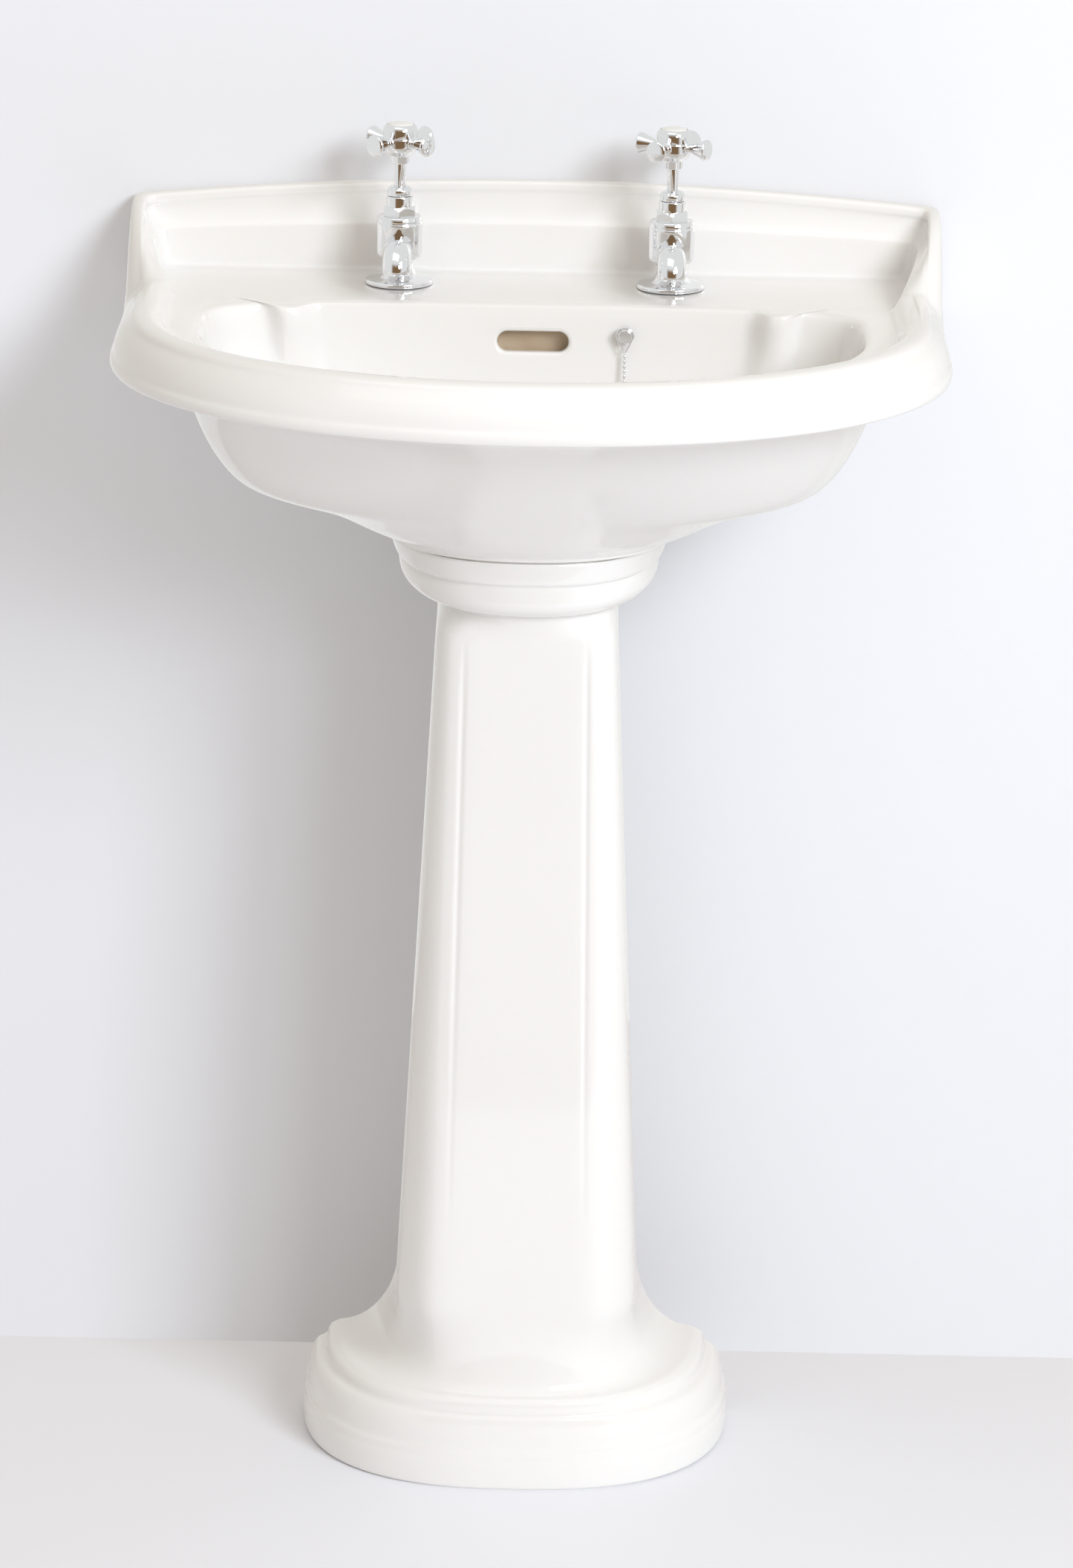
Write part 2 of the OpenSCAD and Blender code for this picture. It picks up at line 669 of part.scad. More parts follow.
module trap_outlet_seal() {
    color(rubber) translate([0, waste_y + 52, outlet_z]) rotate([-90, 0, 0])
        tube(21.5, outlet_r + sit, 0, 3);
}

module trap_outlet_nut() {
    color(plastic) translate([0, waste_y + 38, outlet_z]) rotate([-90, 0, 0]) difference() {
        cylinder(r = 25, h = 21, $fn = 10);
        translate([0, 0, -1]) cylinder(r = 21.6, h = 18.1, $fn = fine);
        cylinder(r = outlet_r + 0.4, h = 22, $fn = fine);
    }
}

module waste_pipe() {
    color(plastic) translate([0, waste_y + 34.2, outlet_z]) rotate([-90, 0, 0])
        difference() {
            union() {
                cylinder(r = outlet_r - 0.2, h = wall_y - waste_y - 34.2 - pipe_free, $fn = fine);
                translate([0, 0, wall_y - waste_y - 34.2 - pipe_free])
                    cylinder(r = outlet_r, h = pipe_free, $fn = fine);
            }
            translate([0, 0, -1]) cylinder(r = pipe_bore_r, h = 200, $fn = fine);
        }
}

// ---------- taps ----------

// Heights above the deck
washer_t = 1;
flange_h = washer_t + 2.3;
seat_h = 24;
spout_h = 29;
spout_r = 10.5;
spout_reach = 40;
spout_bend = 11;
body_top = 50.5;
hex_top = 57.5;
packing_h = 62;
bonnet_top = 66;
gland_top = 72;
stem_top = 95;
arm_h = 105;
hub_top = 118;
tail_r = 10.4;
tail_end = -56;
tail_free_end = -deck_thickness - 10;
inlet_r = 6;
spout_bore_r = 6.5;
headwork_r = 10.5;
thread_r = 4.95;
stem_r = 4.2;

module at_tap(side) { translate([side * tap_x, tap_y, deck_z]) children(); }

module spout_elbow(r) {
    translate([0, -spout_reach, spout_h - spout_bend]) rotate([0, -90, 0]) rotate([0, 0, -90])
        rotate_extrude(angle = 90, $fn = fine) translate([spout_bend, 0]) circle(r = r, $fn = fine);
}

module tap_body(side) {
    color(chrome) at_tap(side) difference() {
        union() {
            rotate_extrude($fn = fine)
                polygon([[0, tail_end], [tail_r, tail_end], [tail_r, tail_free_end],
                         [tail_r - 0.2, tail_free_end], [tail_r - 0.2, washer_t], [25, washer_t],
                         [25, flange_h - 0.8],
                         [24, flange_h], [15.5, flange_h + 1.2], [12, 7], [10.2, 11], [10, 15], [11, 17.5],
                         [15, 19.5], [16.6, 21], [17, 23], [17, 45], [16.4, 46], [16.4, 48],
                         [15.5, body_top], [0, body_top]]);
            translate([0, 0, spout_h]) rotate([90, 0, 0])
                cylinder(r = spout_r, h = spout_reach, $fn = fine);
            spout_elbow(spout_r);
        }
        translate([0, 0, tail_end - 1]) cylinder(r = inlet_r, h = seat_h - tail_end + 3, $fn = fine);
        difference() {
            translate([0, 0, seat_h - 2]) cylinder(r = headwork_r + sit, h = 40, $fn = fine);
            translate([0, 0, seat_h - 3]) cylinder(r = 8, h = 3, $fn = fine);
        }
        translate([0, -9, spout_h]) rotate([90, 0, 0])
            cylinder(r = spout_bore_r, h = spout_reach - 9, $fn = fine);
        spout_elbow(spout_bore_r);
        translate([0, 0, body_top - 1]) cylinder(r = 11.2, h = 2, $fn = fine);
        translate([0, -spout_reach - spout_bend, spout_h - spout_bend - 1])
            cylinder(r = 8.5, h = 3, $fn = fine);
    }
}

module tap_base_washer(side) { color(rubber) at_tap(side) tube(24, tail_r + sit, 0, washer_t); }

module tap_tophat_washer(side) {
    color(plastic) at_tap(side) {
        tube(tap_hole_r - sit, tail_r + sit, -deck_thickness, -4);
        tube(19, tail_r + sit, -deck_thickness - 3, -deck_thickness);
    }
}

module tap_backnut(side) {
    color(brass) at_tap(side) hex_nut(27, tail_r, -deck_thickness - 10, -deck_thickness - 3);
}

module tap_bonnet_washer(side) {
    color("firebrick") at_tap(side) tube(11.1, headwork_r + sit, body_top - 1, body_top);
}

// Headwork: screws into the body and carries the spindle
module tap_bonnet(side) {
    color(chrome) at_tap(side) difference() {
        union() {
            rotate([0, 0, 30]) hex_nut(22.6, 4, body_top, hex_top);
            rotate_extrude($fn = fine)
                polygon([[0, 38], [headwork_r, 38], [headwork_r, hex_top - 2], [9.8, hex_top], [9.8, 64.4],
                         [9.2, 65], [7.4, 65], [7.4, bonnet_top], [0, bonnet_top]]);
        }
        translate([0, 0, 37]) cylinder(r = thread_r + running, h = 40, $fn = fine);
        translate([0, 0, packing_h]) cylinder(r = 6.4, h = 10, $fn = fine);
    }
}

module tap_gland_packing(side) { color(rubber) at_tap(side) tube(6.3, stem_r + running, packing_h, 65.5); }

module tap_gland_nut(side) {
    color(chrome) at_tap(side) difference() {
        rotate_extrude($fn = fine)
            polygon([[0, 65.2], [9.2, 65.2], [9.2, 69.6], [7.2, gland_top], [0, gland_top]]);
        translate([0, 0, 65]) cylinder(r = 7.5, h = 1.2, $fn = fine);
        translate([0, 0, 60]) cylinder(r = stem_r + running, h = 20, $fn = fine);
    }
}

jumper_r = 8;
jumper_pin_r = 2.9;
jumper_z = seat_h + 3.1;
spindle_z = jumper_z + 2.8;
square_w = 5.6;
square_top = 106;
module tap_valve_washer(side) { color(rubber) at_tap(side) tube(7.6, 1.6, seat_h + sit, jumper_z); }

module tap_jumper(side) {
    color(brass) at_tap(side) {
        translate([0, 0, jumper_z]) cylinder(r = jumper_r, h = 2.5, $fn = fine);
        translate([0, 0, seat_h + 1]) cylinder(r = 1.5, h = 5, $fn = 32);
        translate([0, 0, jumper_z]) cylinder(r = jumper_pin_r, h = 12, $fn = fine);
    }
}

module tap_spindle(side, turn) {
    color(chrome) at_tap(side) difference() {
        union() {
            translate([0, 0, spindle_z]) cylinder(r = thread_r, h = 56 - spindle_z, $fn = fine);
            translate([0, 0, 55]) cylinder(r = stem_r, h = stem_top - 55, $fn = fine);
            rotate([0, 0, turn]) translate([-square_w / 2, -square_w / 2, stem_top - 1])
                cube([square_w, square_w, square_top - stem_top + 1]);
        }
        translate([0, 0, spindle_z - 1]) cylinder(r = jumper_pin_r + running, h = 12.4, $fn = fine);
        translate([0, 0, square_top - 12]) cylinder(r = 1.9, h = 13, $fn = 32);
    }
}

// Hub with four flared arms
hub_r = 12.6;
arm_reach = 31;
arm_end_r = 9.2;
module tap_crosshead(side, turn) {
    color(chrome) at_tap(side) rotate([0, 0, turn]) difference() {
        union() {
            rotate_extrude($fn = fine)
                polygon([[0, stem_top - 6], [7, stem_top - 6], [7, stem_top], [9, stem_top + 0.6],
                         [11.6, 98.4], [hub_r, 101], [hub_r, 107.6], [hub_r - 0.6, 108], [hub_r, 108.4],
                         [hub_r, 114], [hub_r - 0.8, 116.4], [hub_r - 2.4, hub_top], [0, hub_top]]);
            for (arm = [0 : 90 : 270])
                rotate([0, 0, arm]) translate([0, 0, arm_h]) rotate([0, 90, 0]) rotate_extrude($fn = 48)
                    polygon([[0, 8], [4.4, 8], [3.6, 13], [3.8, 16], [5.4, 22], [7.9, 28],
                             [arm_end_r - 0.3, 29.6], [arm_end_r, 30.2], [arm_end_r - 0.5, arm_reach],
                             [arm_end_r - 1.8, arm_reach], [arm_end_r - 2.4, arm_reach - 0.6],
                             [0, arm_reach - 0.6]]);
        }
        translate([-square_w / 2 - running, -square_w / 2 - running, stem_top])
            cube([square_w + 2 * running, square_w + 2 * running, 16]);
        translate([0, 0, stem_top - 10]) cylinder(r = stem_r + running, h = 10, $fn = fine);
        translate([0, 0, 109]) cylinder(r = 5, h = 12, $fn = fine);
        translate([0, 0, 113]) cylinder(r = 9.8, h = 12, $fn = fine);
    }
}

module tap_handle_screw(side) {
    color(chrome) at_tap(side) difference() {
        union() {
            translate([0, 0, 97]) cylinder(r = 1.9, h = 13, $fn = 32);
            translate([0, 0, 109]) cylinder(r = 4.2, h = 2.4, $fn = 32);
        }
        translate([-5, -0.5, 110.6]) cube([10, 1, 2]);
    }
}

// Plain white disc that snaps into the top of the hub
module tap_index(side) {
    color("white") at_tap(side) rotate_extrude($fn = fine)
        polygon([[0, 113], [9.7, 113], [9.7, 117.4], [9, 118.3], [6, 119], [0, 119.2]]);
}

module hot_body() { tap_body(-1); }
module hot_base_washer() { tap_base_washer(-1); }
module hot_tophat_washer() { tap_tophat_washer(-1); }
module hot_backnut() { tap_backnut(-1); }
module hot_bonnet() { tap_bonnet(-1); }
module hot_bonnet_washer() { tap_bonnet_washer(-1); }
module hot_gland_nut() { tap_gland_nut(-1); }
module hot_gland_packing() { tap_gland_packing(-1); }
module hot_spindle() { tap_spindle(-1, hot_turn); }
module hot_jumper() { tap_jumper(-1); }
module hot_valve_washer() { tap_valve_washer(-1); }
module hot_crosshead() { tap_crosshead(-1, hot_turn); }
module hot_index() { tap_index(-1); }
module hot_handle_screw() { tap_handle_screw(-1); }

module cold_body() { tap_body(1); }
module cold_base_washer() { tap_base_washer(1); }
module cold_tophat_washer() { tap_tophat_washer(1); }
module cold_backnut() { tap_backnut(1); }
module cold_bonnet() { tap_bonnet(1); }
module cold_bonnet_washer() { tap_bonnet_washer(1); }
module cold_gland_nut() { tap_gland_nut(1); }
module cold_gland_packing() { tap_gland_packing(1); }
module cold_spindle() { tap_spindle(1, cold_turn); }
module cold_jumper() { tap_jumper(1); }
module cold_valve_washer() { tap_valve_washer(1); }
module cold_crosshead() { tap_crosshead(1, cold_turn); }
module cold_index() { tap_index(1); }
module cold_handle_screw() { tap_handle_screw(1); }

basin();
pedestal();
pedestal_seal();
wall_studs();
wall_stud_sleeves();
wall_stud_nuts();
floor_screws();
floor_screw_washers();
waste_body();
waste_flange_seal();
waste_under_seal();
waste_backnut();
plug_body();
plug_seal();
plug_ring();
plug_chain();
chain_shackle();
chain_stay();
chain_stay_washer();
chain_stay_nut();
trap_inlet_nut();
trap_inlet_seal();
trap_body();
trap_cup();
trap_cup_seal();
trap_dip_tube();
trap_outlet_nut();
trap_outlet_seal();
waste_pipe();
hot_body();
hot_base_washer();
hot_tophat_washer();
hot_backnut();
hot_bonnet();
hot_bonnet_washer();
hot_gland_nut();
hot_gland_packing();
hot_spindle();
hot_jumper();
hot_valve_washer();
hot_crosshead();
hot_index();
hot_handle_screw();
cold_body();
cold_base_washer();
cold_tophat_washer();
cold_backnut();
cold_bonnet();
cold_bonnet_washer();
cold_gland_nut();
cold_gland_packing();
cold_spindle();
cold_jumper();
cold_valve_washer();
cold_crosshead();
cold_index();
cold_handle_screw();
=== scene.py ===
"""Looks of the pedestal washbasin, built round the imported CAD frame.

Shapes are worked out in millimetres and turned into metres when a mesh is made.
"""

import json
import math

import bmesh
import bpy
import numpy as np
from mathutils import Matrix, Vector

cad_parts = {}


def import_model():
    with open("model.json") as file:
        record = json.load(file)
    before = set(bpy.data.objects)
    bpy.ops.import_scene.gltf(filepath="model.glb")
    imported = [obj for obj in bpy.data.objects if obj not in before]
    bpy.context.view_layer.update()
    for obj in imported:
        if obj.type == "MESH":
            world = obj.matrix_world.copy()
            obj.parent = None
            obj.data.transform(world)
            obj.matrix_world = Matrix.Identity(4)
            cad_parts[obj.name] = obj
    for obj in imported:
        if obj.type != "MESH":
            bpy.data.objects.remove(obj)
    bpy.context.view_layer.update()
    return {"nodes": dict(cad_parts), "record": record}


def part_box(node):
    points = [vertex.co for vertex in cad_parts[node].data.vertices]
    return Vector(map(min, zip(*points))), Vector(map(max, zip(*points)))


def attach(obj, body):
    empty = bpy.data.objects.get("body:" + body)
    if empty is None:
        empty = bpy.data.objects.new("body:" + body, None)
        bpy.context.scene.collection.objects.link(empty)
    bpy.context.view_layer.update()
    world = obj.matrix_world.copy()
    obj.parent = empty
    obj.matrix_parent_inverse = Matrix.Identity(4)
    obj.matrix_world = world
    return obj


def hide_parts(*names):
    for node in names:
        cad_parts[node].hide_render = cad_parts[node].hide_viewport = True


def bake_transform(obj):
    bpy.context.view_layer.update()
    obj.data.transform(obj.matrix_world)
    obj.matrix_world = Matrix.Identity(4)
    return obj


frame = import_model()
MM = 0.001


# ---------- where things are, read from the CAD ----------


def cad_box_mm(node):
    return [np.array(corner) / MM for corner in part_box(node)]


def cad_centre(node):
    low, high = cad_box_mm(node)
    return (low + high) / 2


basin_low, basin_high = cad_box_mm("basin")
HALF_W = basin_high[0]
WALL_Y = basin_high[1]
FRONT_Y = basin_low[1]
SEAT_Z = basin_low[2]
SPLASH_RISE = 68
DECK_Z = basin_high[2] - SPLASH_RISE
PEDESTAL_TOP = cad_box_mm("pedestal")[1][2]
PLINTH_HALF = cad_box_mm("pedestal")[1][0]
WASTE = cad_centre("waste_backnut")
TAPS = {name: cad_centre(name + "_base_washer") for name in ("hot", "cold")}
STAY = cad_centre("chain_stay_washer")


# ---------- camera ----------


def add_camera():
    """A long lens at standing height, tilted down and rolled by a degree."""
    yaw, pitch, roll = (math.radians(a) for a in (-0.46, 17.32, 1.01))
    ahead = Vector((math.sin(yaw) * math.cos(pitch), math.cos(yaw) * math.cos(pitch), -math.sin(pitch)))
    level = Vector((math.cos(yaw), -math.sin(yaw), 0))
    up = level.cross(ahead)
    right = math.cos(roll) * level + math.sin(roll) * up
    top = math.cos(roll) * up - math.sin(roll) * level
    data = bpy.data.cameras.new("camera")
    data.sensor_width = 36
    data.lens = 126.9
    data.clip_end = 50
    camera = bpy.data.objects.new("camera", data)
    place = Matrix((right, top, -ahead)).transposed().to_4x4()
    place.translation = (0.040, -3.833, 1.734)
    camera.matrix_world = place
    bpy.context.scene.collection.objects.link(camera)
    bpy.context.scene.camera = camera


add_camera()


# ---------- mesh helpers ----------


def add_piece(name, points, faces, sharp=40):
    """A mesh piece from points in millimetres, with outward faces, smooth except at sharp edges."""
    mesh = bpy.data.meshes.new(name)
    mesh.from_pydata((np.asarray(points, float) * MM).tolist(), [], faces)
    tidy = bmesh.new()
    tidy.from_mesh(mesh)
    bmesh.ops.recalc_face_normals(tidy, faces=tidy.faces)
    tidy.to_mesh(mesh)
    tidy.free()
    piece = bpy.data.objects.new(name, mesh)
    bpy.context.scene.collection.objects.link(piece)
    shade(piece, sharp)
    return piece


def shade(piece, sharp=40):
    piece.data.shade_smooth()
    piece.data.set_sharp_from_angle(angle=math.radians(sharp))


def combine(piece, tool, operation, sharp=40):
    """Joins the tool to the piece, cuts it away or keeps what they share. The tool is used up."""
    change = piece.modifiers.new("combine", "BOOLEAN")
    change.object = tool
    change.operation = operation
    change.solver = "MANIFOLD"
    made = bpy.data.meshes.new_from_object(piece.evaluated_get(bpy.context.evaluated_depsgraph_get()))
    piece.modifiers.clear()
    old = piece.data
    piece.data = made
    bpy.data.meshes.remove(old)
    bpy.data.objects.remove(tool)
    shade(piece, sharp)
    return piece


def turned(piece, matrix):
    piece.data.transform(matrix)
    return piece


def moved(piece, offset):
    return turned(piece, Matrix.Translation(Vector(offset) * MM))


def grid_faces(rows, cols, closed_rows):
    return [
        (j * cols + i, j * cols + (i + 1) % cols, (j + 1) % rows * cols + (i + 1) % cols, (j + 1) % rows * cols + i)
        for j in range(rows if closed_rows else rows - 1)
        for i in range(cols)
    ]


def refine(points, axis, closed=True):
    """One round of B-spline subdivision along an axis of a grid of points."""
    p = np.moveaxis(np.asarray(points, float), axis, 0)
    before, after = np.roll(p, 1, 0), np.roll(p, -1, 0)
    kept, between = (before + 6 * p + after) / 8, (p + after) / 2
    if not closed:
        kept[0], kept[-1] = p[0], p[-1]
    made = np.stack([kept, between], 1).reshape((-1,) + p.shape[1:])
    return np.moveaxis(made if closed else made[:-1], 0, axis)


def rounded(profile, radius, steps=3):
    """The profile with its corners rounded off, for edges that catch the light."""
    p = [np.array(q, float) for q in profile]
    made = [p[0]]
    for a, b, c in zip(p, p[1:], p[2:]):
        to_a, to_c = a - b, c - b
        la, lc = np.linalg.norm(to_a), np.linalg.norm(to_c)
        if la < 1e-6 or lc < 1e-6:
            made.append(b)
            continue
        cut = min(radius, 0.42 * la, 0.42 * lc)
        start, end = b + to_a / la * cut, b + to_c / lc * cut
        for k in range(steps + 1):
            t = k / steps
            made.append((1 - t) ** 2 * start + 2 * t * (1 - t) * b + t * t * end)
    return made + [p[-1]]


def lathe(name, profile, segments=96, closed=False, sharp=40):
    """Turns a profile of [radius, height] about Z. A radius of 0 closes an end."""
    points, faces, rings = [], [], []
    turns = [2 * math.pi * k / segments for k in range(segments)]
    for r, z in profile:
        count = 1 if r < 1e-6 else segments
        rings.append([len(points) + k for k in range(count)])
        points += [(0, 0, z)] if count == 1 else [(r * math.cos(a), r * math.sin(a), z) for a in turns]
    pairs = list(zip(rings, rings[1:])) + ([(rings[-1], rings[0])] if closed else [])
    for a, b in pairs:
        for i in range(segments):
            j = (i + 1) % segments
            if len(a) > 1 and len(b) > 1:
                faces.append((a[i], a[j], b[j], b[i]))
            elif len(a) > 1:
                faces.append((a[i], a[j], b[0]))
            elif len(b) > 1:
                faces.append((a[0], b[j], b[i]))
    return add_piece(name, points, faces, sharp)


def tube(name, path, radii, sides=24, sharp=60):
    """A solid round bar along a path; radii is one number or one for each point."""
    path = [Vector(p) for p in path]
    radii = [radii] * len(path) if isinstance(radii, (int, float)) else radii
    points, side = [], None
    for i, p in enumerate(path):
        ahead = (path[min(i + 1, len(path) - 1)] - path[max(i - 1, 0)]).normalized()
        if side is None:
            side = ahead.orthogonal()
        side = (side - ahead * side.dot(ahead)).normalized()
        up = ahead.cross(side)
        for k in range(sides):
            a = 2 * math.pi * k / sides
            points.append(p + (side * math.cos(a) + up * math.sin(a)) * radii[i])
    faces = grid_faces(len(path), sides, False)
    faces += [tuple(range(sides))[::-1], tuple((len(path) - 1) * sides + k for k in range(sides))]
    return add_piece(name, points, faces, sharp)


def block(low, high):
    (x0, y0, z0), (x1, y1, z1) = low, high
    points = [(x, y, z) for z in (z0, z1) for y in (y0, y1) for x in (x0, x1)]
    faces = [(0, 2, 3, 1), (4, 5, 7, 6), (0, 1, 5, 4), (2, 6, 7, 3), (0, 4, 6, 2), (1, 3, 7, 5)]
    return add_piece("block", points, faces)


def pin(x, y, z0, z1, r, segments=64):
    return moved(lathe("pin", [(0, z0), (r, z0), (r, z1), (0, z1)], segments), (x, y, 0))


def pin_y(x, z, y0, y1, r, segments=64):
    turn = Matrix.Rotation(math.radians(-90), 4, "X")
    return moved(turned(lathe("pin", [(0, y0), (r, y0), (r, y1), (0, y1)], segments), turn), (x, 0, z))


# ---------- materials ----------


def node_material(name, light, dark, roughness, metallic=0.0, patch=6.0, grain=60.0, bump=0.0, bump_size=200.0,
                  coat=0.0, ior=1.5, subsurface=0.0):
    """A procedural finish: two tones in soft patches, a varying gloss and a fine relief."""
    material = bpy.data.materials.new(name)
    material.use_nodes = True
    nodes, links = material.node_tree.nodes, material.node_tree.links
    shader = nodes["Principled BSDF"]
    place = nodes.new("ShaderNodeTexCoord")

    def noise(scale, detail):
        made = nodes.new("ShaderNodeTexNoise")
        made.inputs["Scale"].default_value = scale
        made.inputs["Detail"].default_value = detail
        links.new(place.outputs["Object"], made.inputs["Vector"])
        return made

    tones = nodes.new("ShaderNodeValToRGB")
    tones.color_ramp.elements[0].position = 0.3
    tones.color_ramp.elements[1].position = 0.7
    tones.color_ramp.elements[0].color = (*dark, 1)
    tones.color_ramp.elements[1].color = (*light, 1)
    links.new(noise(patch, 3).outputs["Fac"], tones.inputs["Fac"])
    links.new(tones.outputs["Color"], shader.inputs["Base Color"])
    gloss = nodes.new("ShaderNodeMapRange")
    gloss.inputs["To Min"].default_value = roughness[0]
    gloss.inputs["To Max"].default_value = roughness[1]
    links.new(noise(grain, 4).outputs["Fac"], gloss.inputs["Value"])
    links.new(gloss.outputs["Result"], shader.inputs["Roughness"])
    if bump:
        relief = nodes.new("ShaderNodeBump")
        relief.inputs["Strength"].default_value = bump
        relief.inputs["Distance"].default_value = 0.0004
        links.new(noise(bump_size, 2).outputs["Fac"], relief.inputs["Height"])
        links.new(relief.outputs["Normal"], shader.inputs["Normal"])
    shader.inputs["Metallic"].default_value = metallic
    shader.inputs["IOR"].default_value = ior
    shader.inputs["Coat Weight"].default_value = coat
    shader.inputs["Coat Roughness"].default_value = 0.03
    shader.inputs["Subsurface Weight"].default_value = subsurface
    shader.inputs["Subsurface Scale"].default_value = 0.004
    return material


FINISH = {
    "white_china": node_material("white_china", (0.868, 0.860, 0.848), (0.852, 0.842, 0.828), (0.07, 0.12),
                                 patch=5, grain=30, bump=0.06, bump_size=45, coat=0.4, subsurface=0.05),
    "index_china": node_material("index_china", (0.92, 0.915, 0.90), (0.89, 0.885, 0.865), (0.06, 0.1),
                                 patch=60, grain=200, coat=0.5),
    "white_sealant": node_material("white_sealant", (0.84, 0.83, 0.80), (0.76, 0.75, 0.72), (0.4, 0.55),
                                   patch=30, bump=0.3, bump_size=300),
    "clear_plastic": node_material("clear_plastic", (0.80, 0.81, 0.79), (0.72, 0.73, 0.71), (0.25, 0.4), patch=60,
                                   bump=0.1, bump_size=500),
    "black_rubber": node_material("black_rubber", (0.035, 0.035, 0.037), (0.02, 0.02, 0.021), (0.55, 0.75),
                                  patch=80, bump=0.4, bump_size=900),
    "red_fibre": node_material("red_fibre", (0.42, 0.10, 0.06), (0.30, 0.07, 0.045), (0.6, 0.8), patch=150,
                               bump=0.5, bump_size=1200),
    "white_plastic": node_material("white_plastic", (0.86, 0.86, 0.85), (0.82, 0.82, 0.81), (0.22, 0.32),
                                   patch=12, grain=120, bump=0.12, bump_size=400),
    "brass": node_material("brass", (0.78, 0.58, 0.27), (0.62, 0.44, 0.19), (0.22, 0.38), metallic=1, patch=40,
                           grain=150, bump=0.2, bump_size=500),
    "chrome": node_material("chrome", (0.86, 0.865, 0.88), (0.83, 0.835, 0.85), (0.025, 0.05), metallic=1,
                            patch=25, grain=80, bump=0.02, bump_size=120),
    "steel": node_material("steel", (0.58, 0.58, 0.59), (0.48, 0.48, 0.49), (0.25, 0.4), metallic=1, patch=50,
                           grain=300, bump=0.15, bump_size=800),
}


# Bare buff clay colour, made darker and browner to paint the shade inside the overflow duct
DUCT_CLAY_AND_PAINTED_SHADE = node_material("duct_clay_and_painted_shade", (0.64, 0.51, 0.37), (0.54, 0.41, 0.28), (0.5, 0.65), patch=40, grain=200,
                          bump=0.4, bump_size=700)


def finish_piece(piece, body, slot, *nodes):
    piece.data.materials.clear()
    piece.data.materials.append(FINISH[slot])
    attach(piece, body)
    if nodes:
        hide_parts(*nodes)
    return piece


# ---------- basin ----------

CENTRE_Y = 20
RIM_RISE = 12
CORNER_RISE = 53
RIM_DEPTH = 28
UNDER_Z = DECK_Z - RIM_DEPTH
BOWL_FLOOR_Z = DECK_Z - 134
WING_START_Y = 110
BOWL_HALF, BOWL_FRONT, BOWL_BACK = 240, -165, 112
TONGUE_X, TONGUE_HALF, TONGUE_DEPTH = 180, 13, 16


def mix(a, b, t):
    return a + (b - a) * t


def ring_angles():
    """Directions of the points round each ring, closer together beside the back corners."""
    corner = math.degrees(math.atan2(WALL_Y - CENTRE_Y, HALF_W))
    near = np.array([-1.6, -0.8, -0.3])
    right = np.concatenate([np.linspace(0, 20.5, 18), np.linspace(21, 29, 33), [30, 31], corner + near])
    back = np.concatenate([[corner], corner - near[::-1], np.linspace(corner + 2.6, 90, 26)[:-1]])
    half = np.concatenate([right, back])
    left = 180 - half[::-1][:-1]
    return np.radians(np.concatenate([half, [90], left, [180], np.linspace(180, 360, 81)[1:-1]]))


angles = ring_angles()
COS, SIN = np.cos(angles), np.sin(angles)


def super_r(c, s, a, b, n):
    return (np.abs(c / a) ** n + np.abs(s / b) ** n) ** (-1 / n)


def ring(z, half, cy, front, back, n_front, n_back):
    r = np.where(SIN < 0, super_r(COS, SIN, half, cy - front, n_front), super_r(COS, SIN, half, back - cy, n_back))
    return np.stack([r * COS, cy + r * SIN, np.full(len(r), float(z))], 1)


def rim_xy(inset):
    r = np.where(
        SIN < 0,
        super_r(COS, SIN, HALF_W - inset, CENTRE_Y - FRONT_Y - inset, 2.1),
        super_r(COS, SIN, HALF_W - inset, WALL_Y - CENTRE_Y - inset, 60),
    )
    return r * COS, CENTRE_Y + r * SIN


edge_x, edge_y = rim_xy(0)
WING = np.sin(np.radians(90 * np.clip((edge_y - WING_START_Y) / (WALL_Y - WING_START_Y), 0, 1)))
SPLASH_TOP = mix(CORNER_RISE, SPLASH_RISE, 1 - np.clip(np.abs(edge_x) / HALF_W, 0, 1) ** 2)

# Rolled rim: [inset, height above the deck]
RIM_SECTION = [
    [50, -RIM_DEPTH - 3], [8, -RIM_DEPTH], [2, -RIM_DEPTH + 0.5], [0, -RIM_DEPTH + 3],
    [0, -19.5], [2.2, -17.6], [2.5, -14], [4, -8], [8, 0], [14, 5.6], [14.6, 7.8], [17, 10.6],
    [22, RIM_RISE], [28, RIM_RISE], [33, RIM_RISE - 2], [36.5, RIM_RISE - 5.5], [38.5, 3.5],
    [41, 0.8], [46, 0],
]

# Splashback: [inset, share of the splashback's height, height above that]
SPLASH_SECTION = [
    [50, 0, -RIM_DEPTH - 3], [8, 0, -RIM_DEPTH], [2, 0, -RIM_DEPTH + 0.5], [0, 0, -RIM_DEPTH + 3],
    [0, 0, 0], [0, 0.5, 0], [0, 1, -6], [0.3, 1, -1.5], [2, 1, 0], [8, 1, 0], [10, 1, -2],
    [10.5, 1, -7], [8.5, 1, -9], [14, 0.54, 3], [17, 0.54, 0.5], [17.5, 0.54, -2.5],
    [21, 0, 6], [23, 0, 1.5], [29, 0, 0],
]


def rim_ring(r, s):
    x, y = rim_xy(mix(r[0], s[0], WING))
    return np.stack([x, y, DECK_Z + mix(r[1], s[1] * SPLASH_TOP + s[2], WING)], 1)


def bowl_edge(z, half, cy, front, back, n_front, n_back, cusps):
    p = ring(z, half, cy, front, back, n_front, n_back)
    tongue = np.exp(-(np.abs((np.abs(p[:, 0]) - TONGUE_X * half / BOWL_HALF) / TONGUE_HALF) ** 2.6)) * (SIN > 0)
    p[:, 1] -= cusps * TONGUE_DEPTH * tongue
    return p


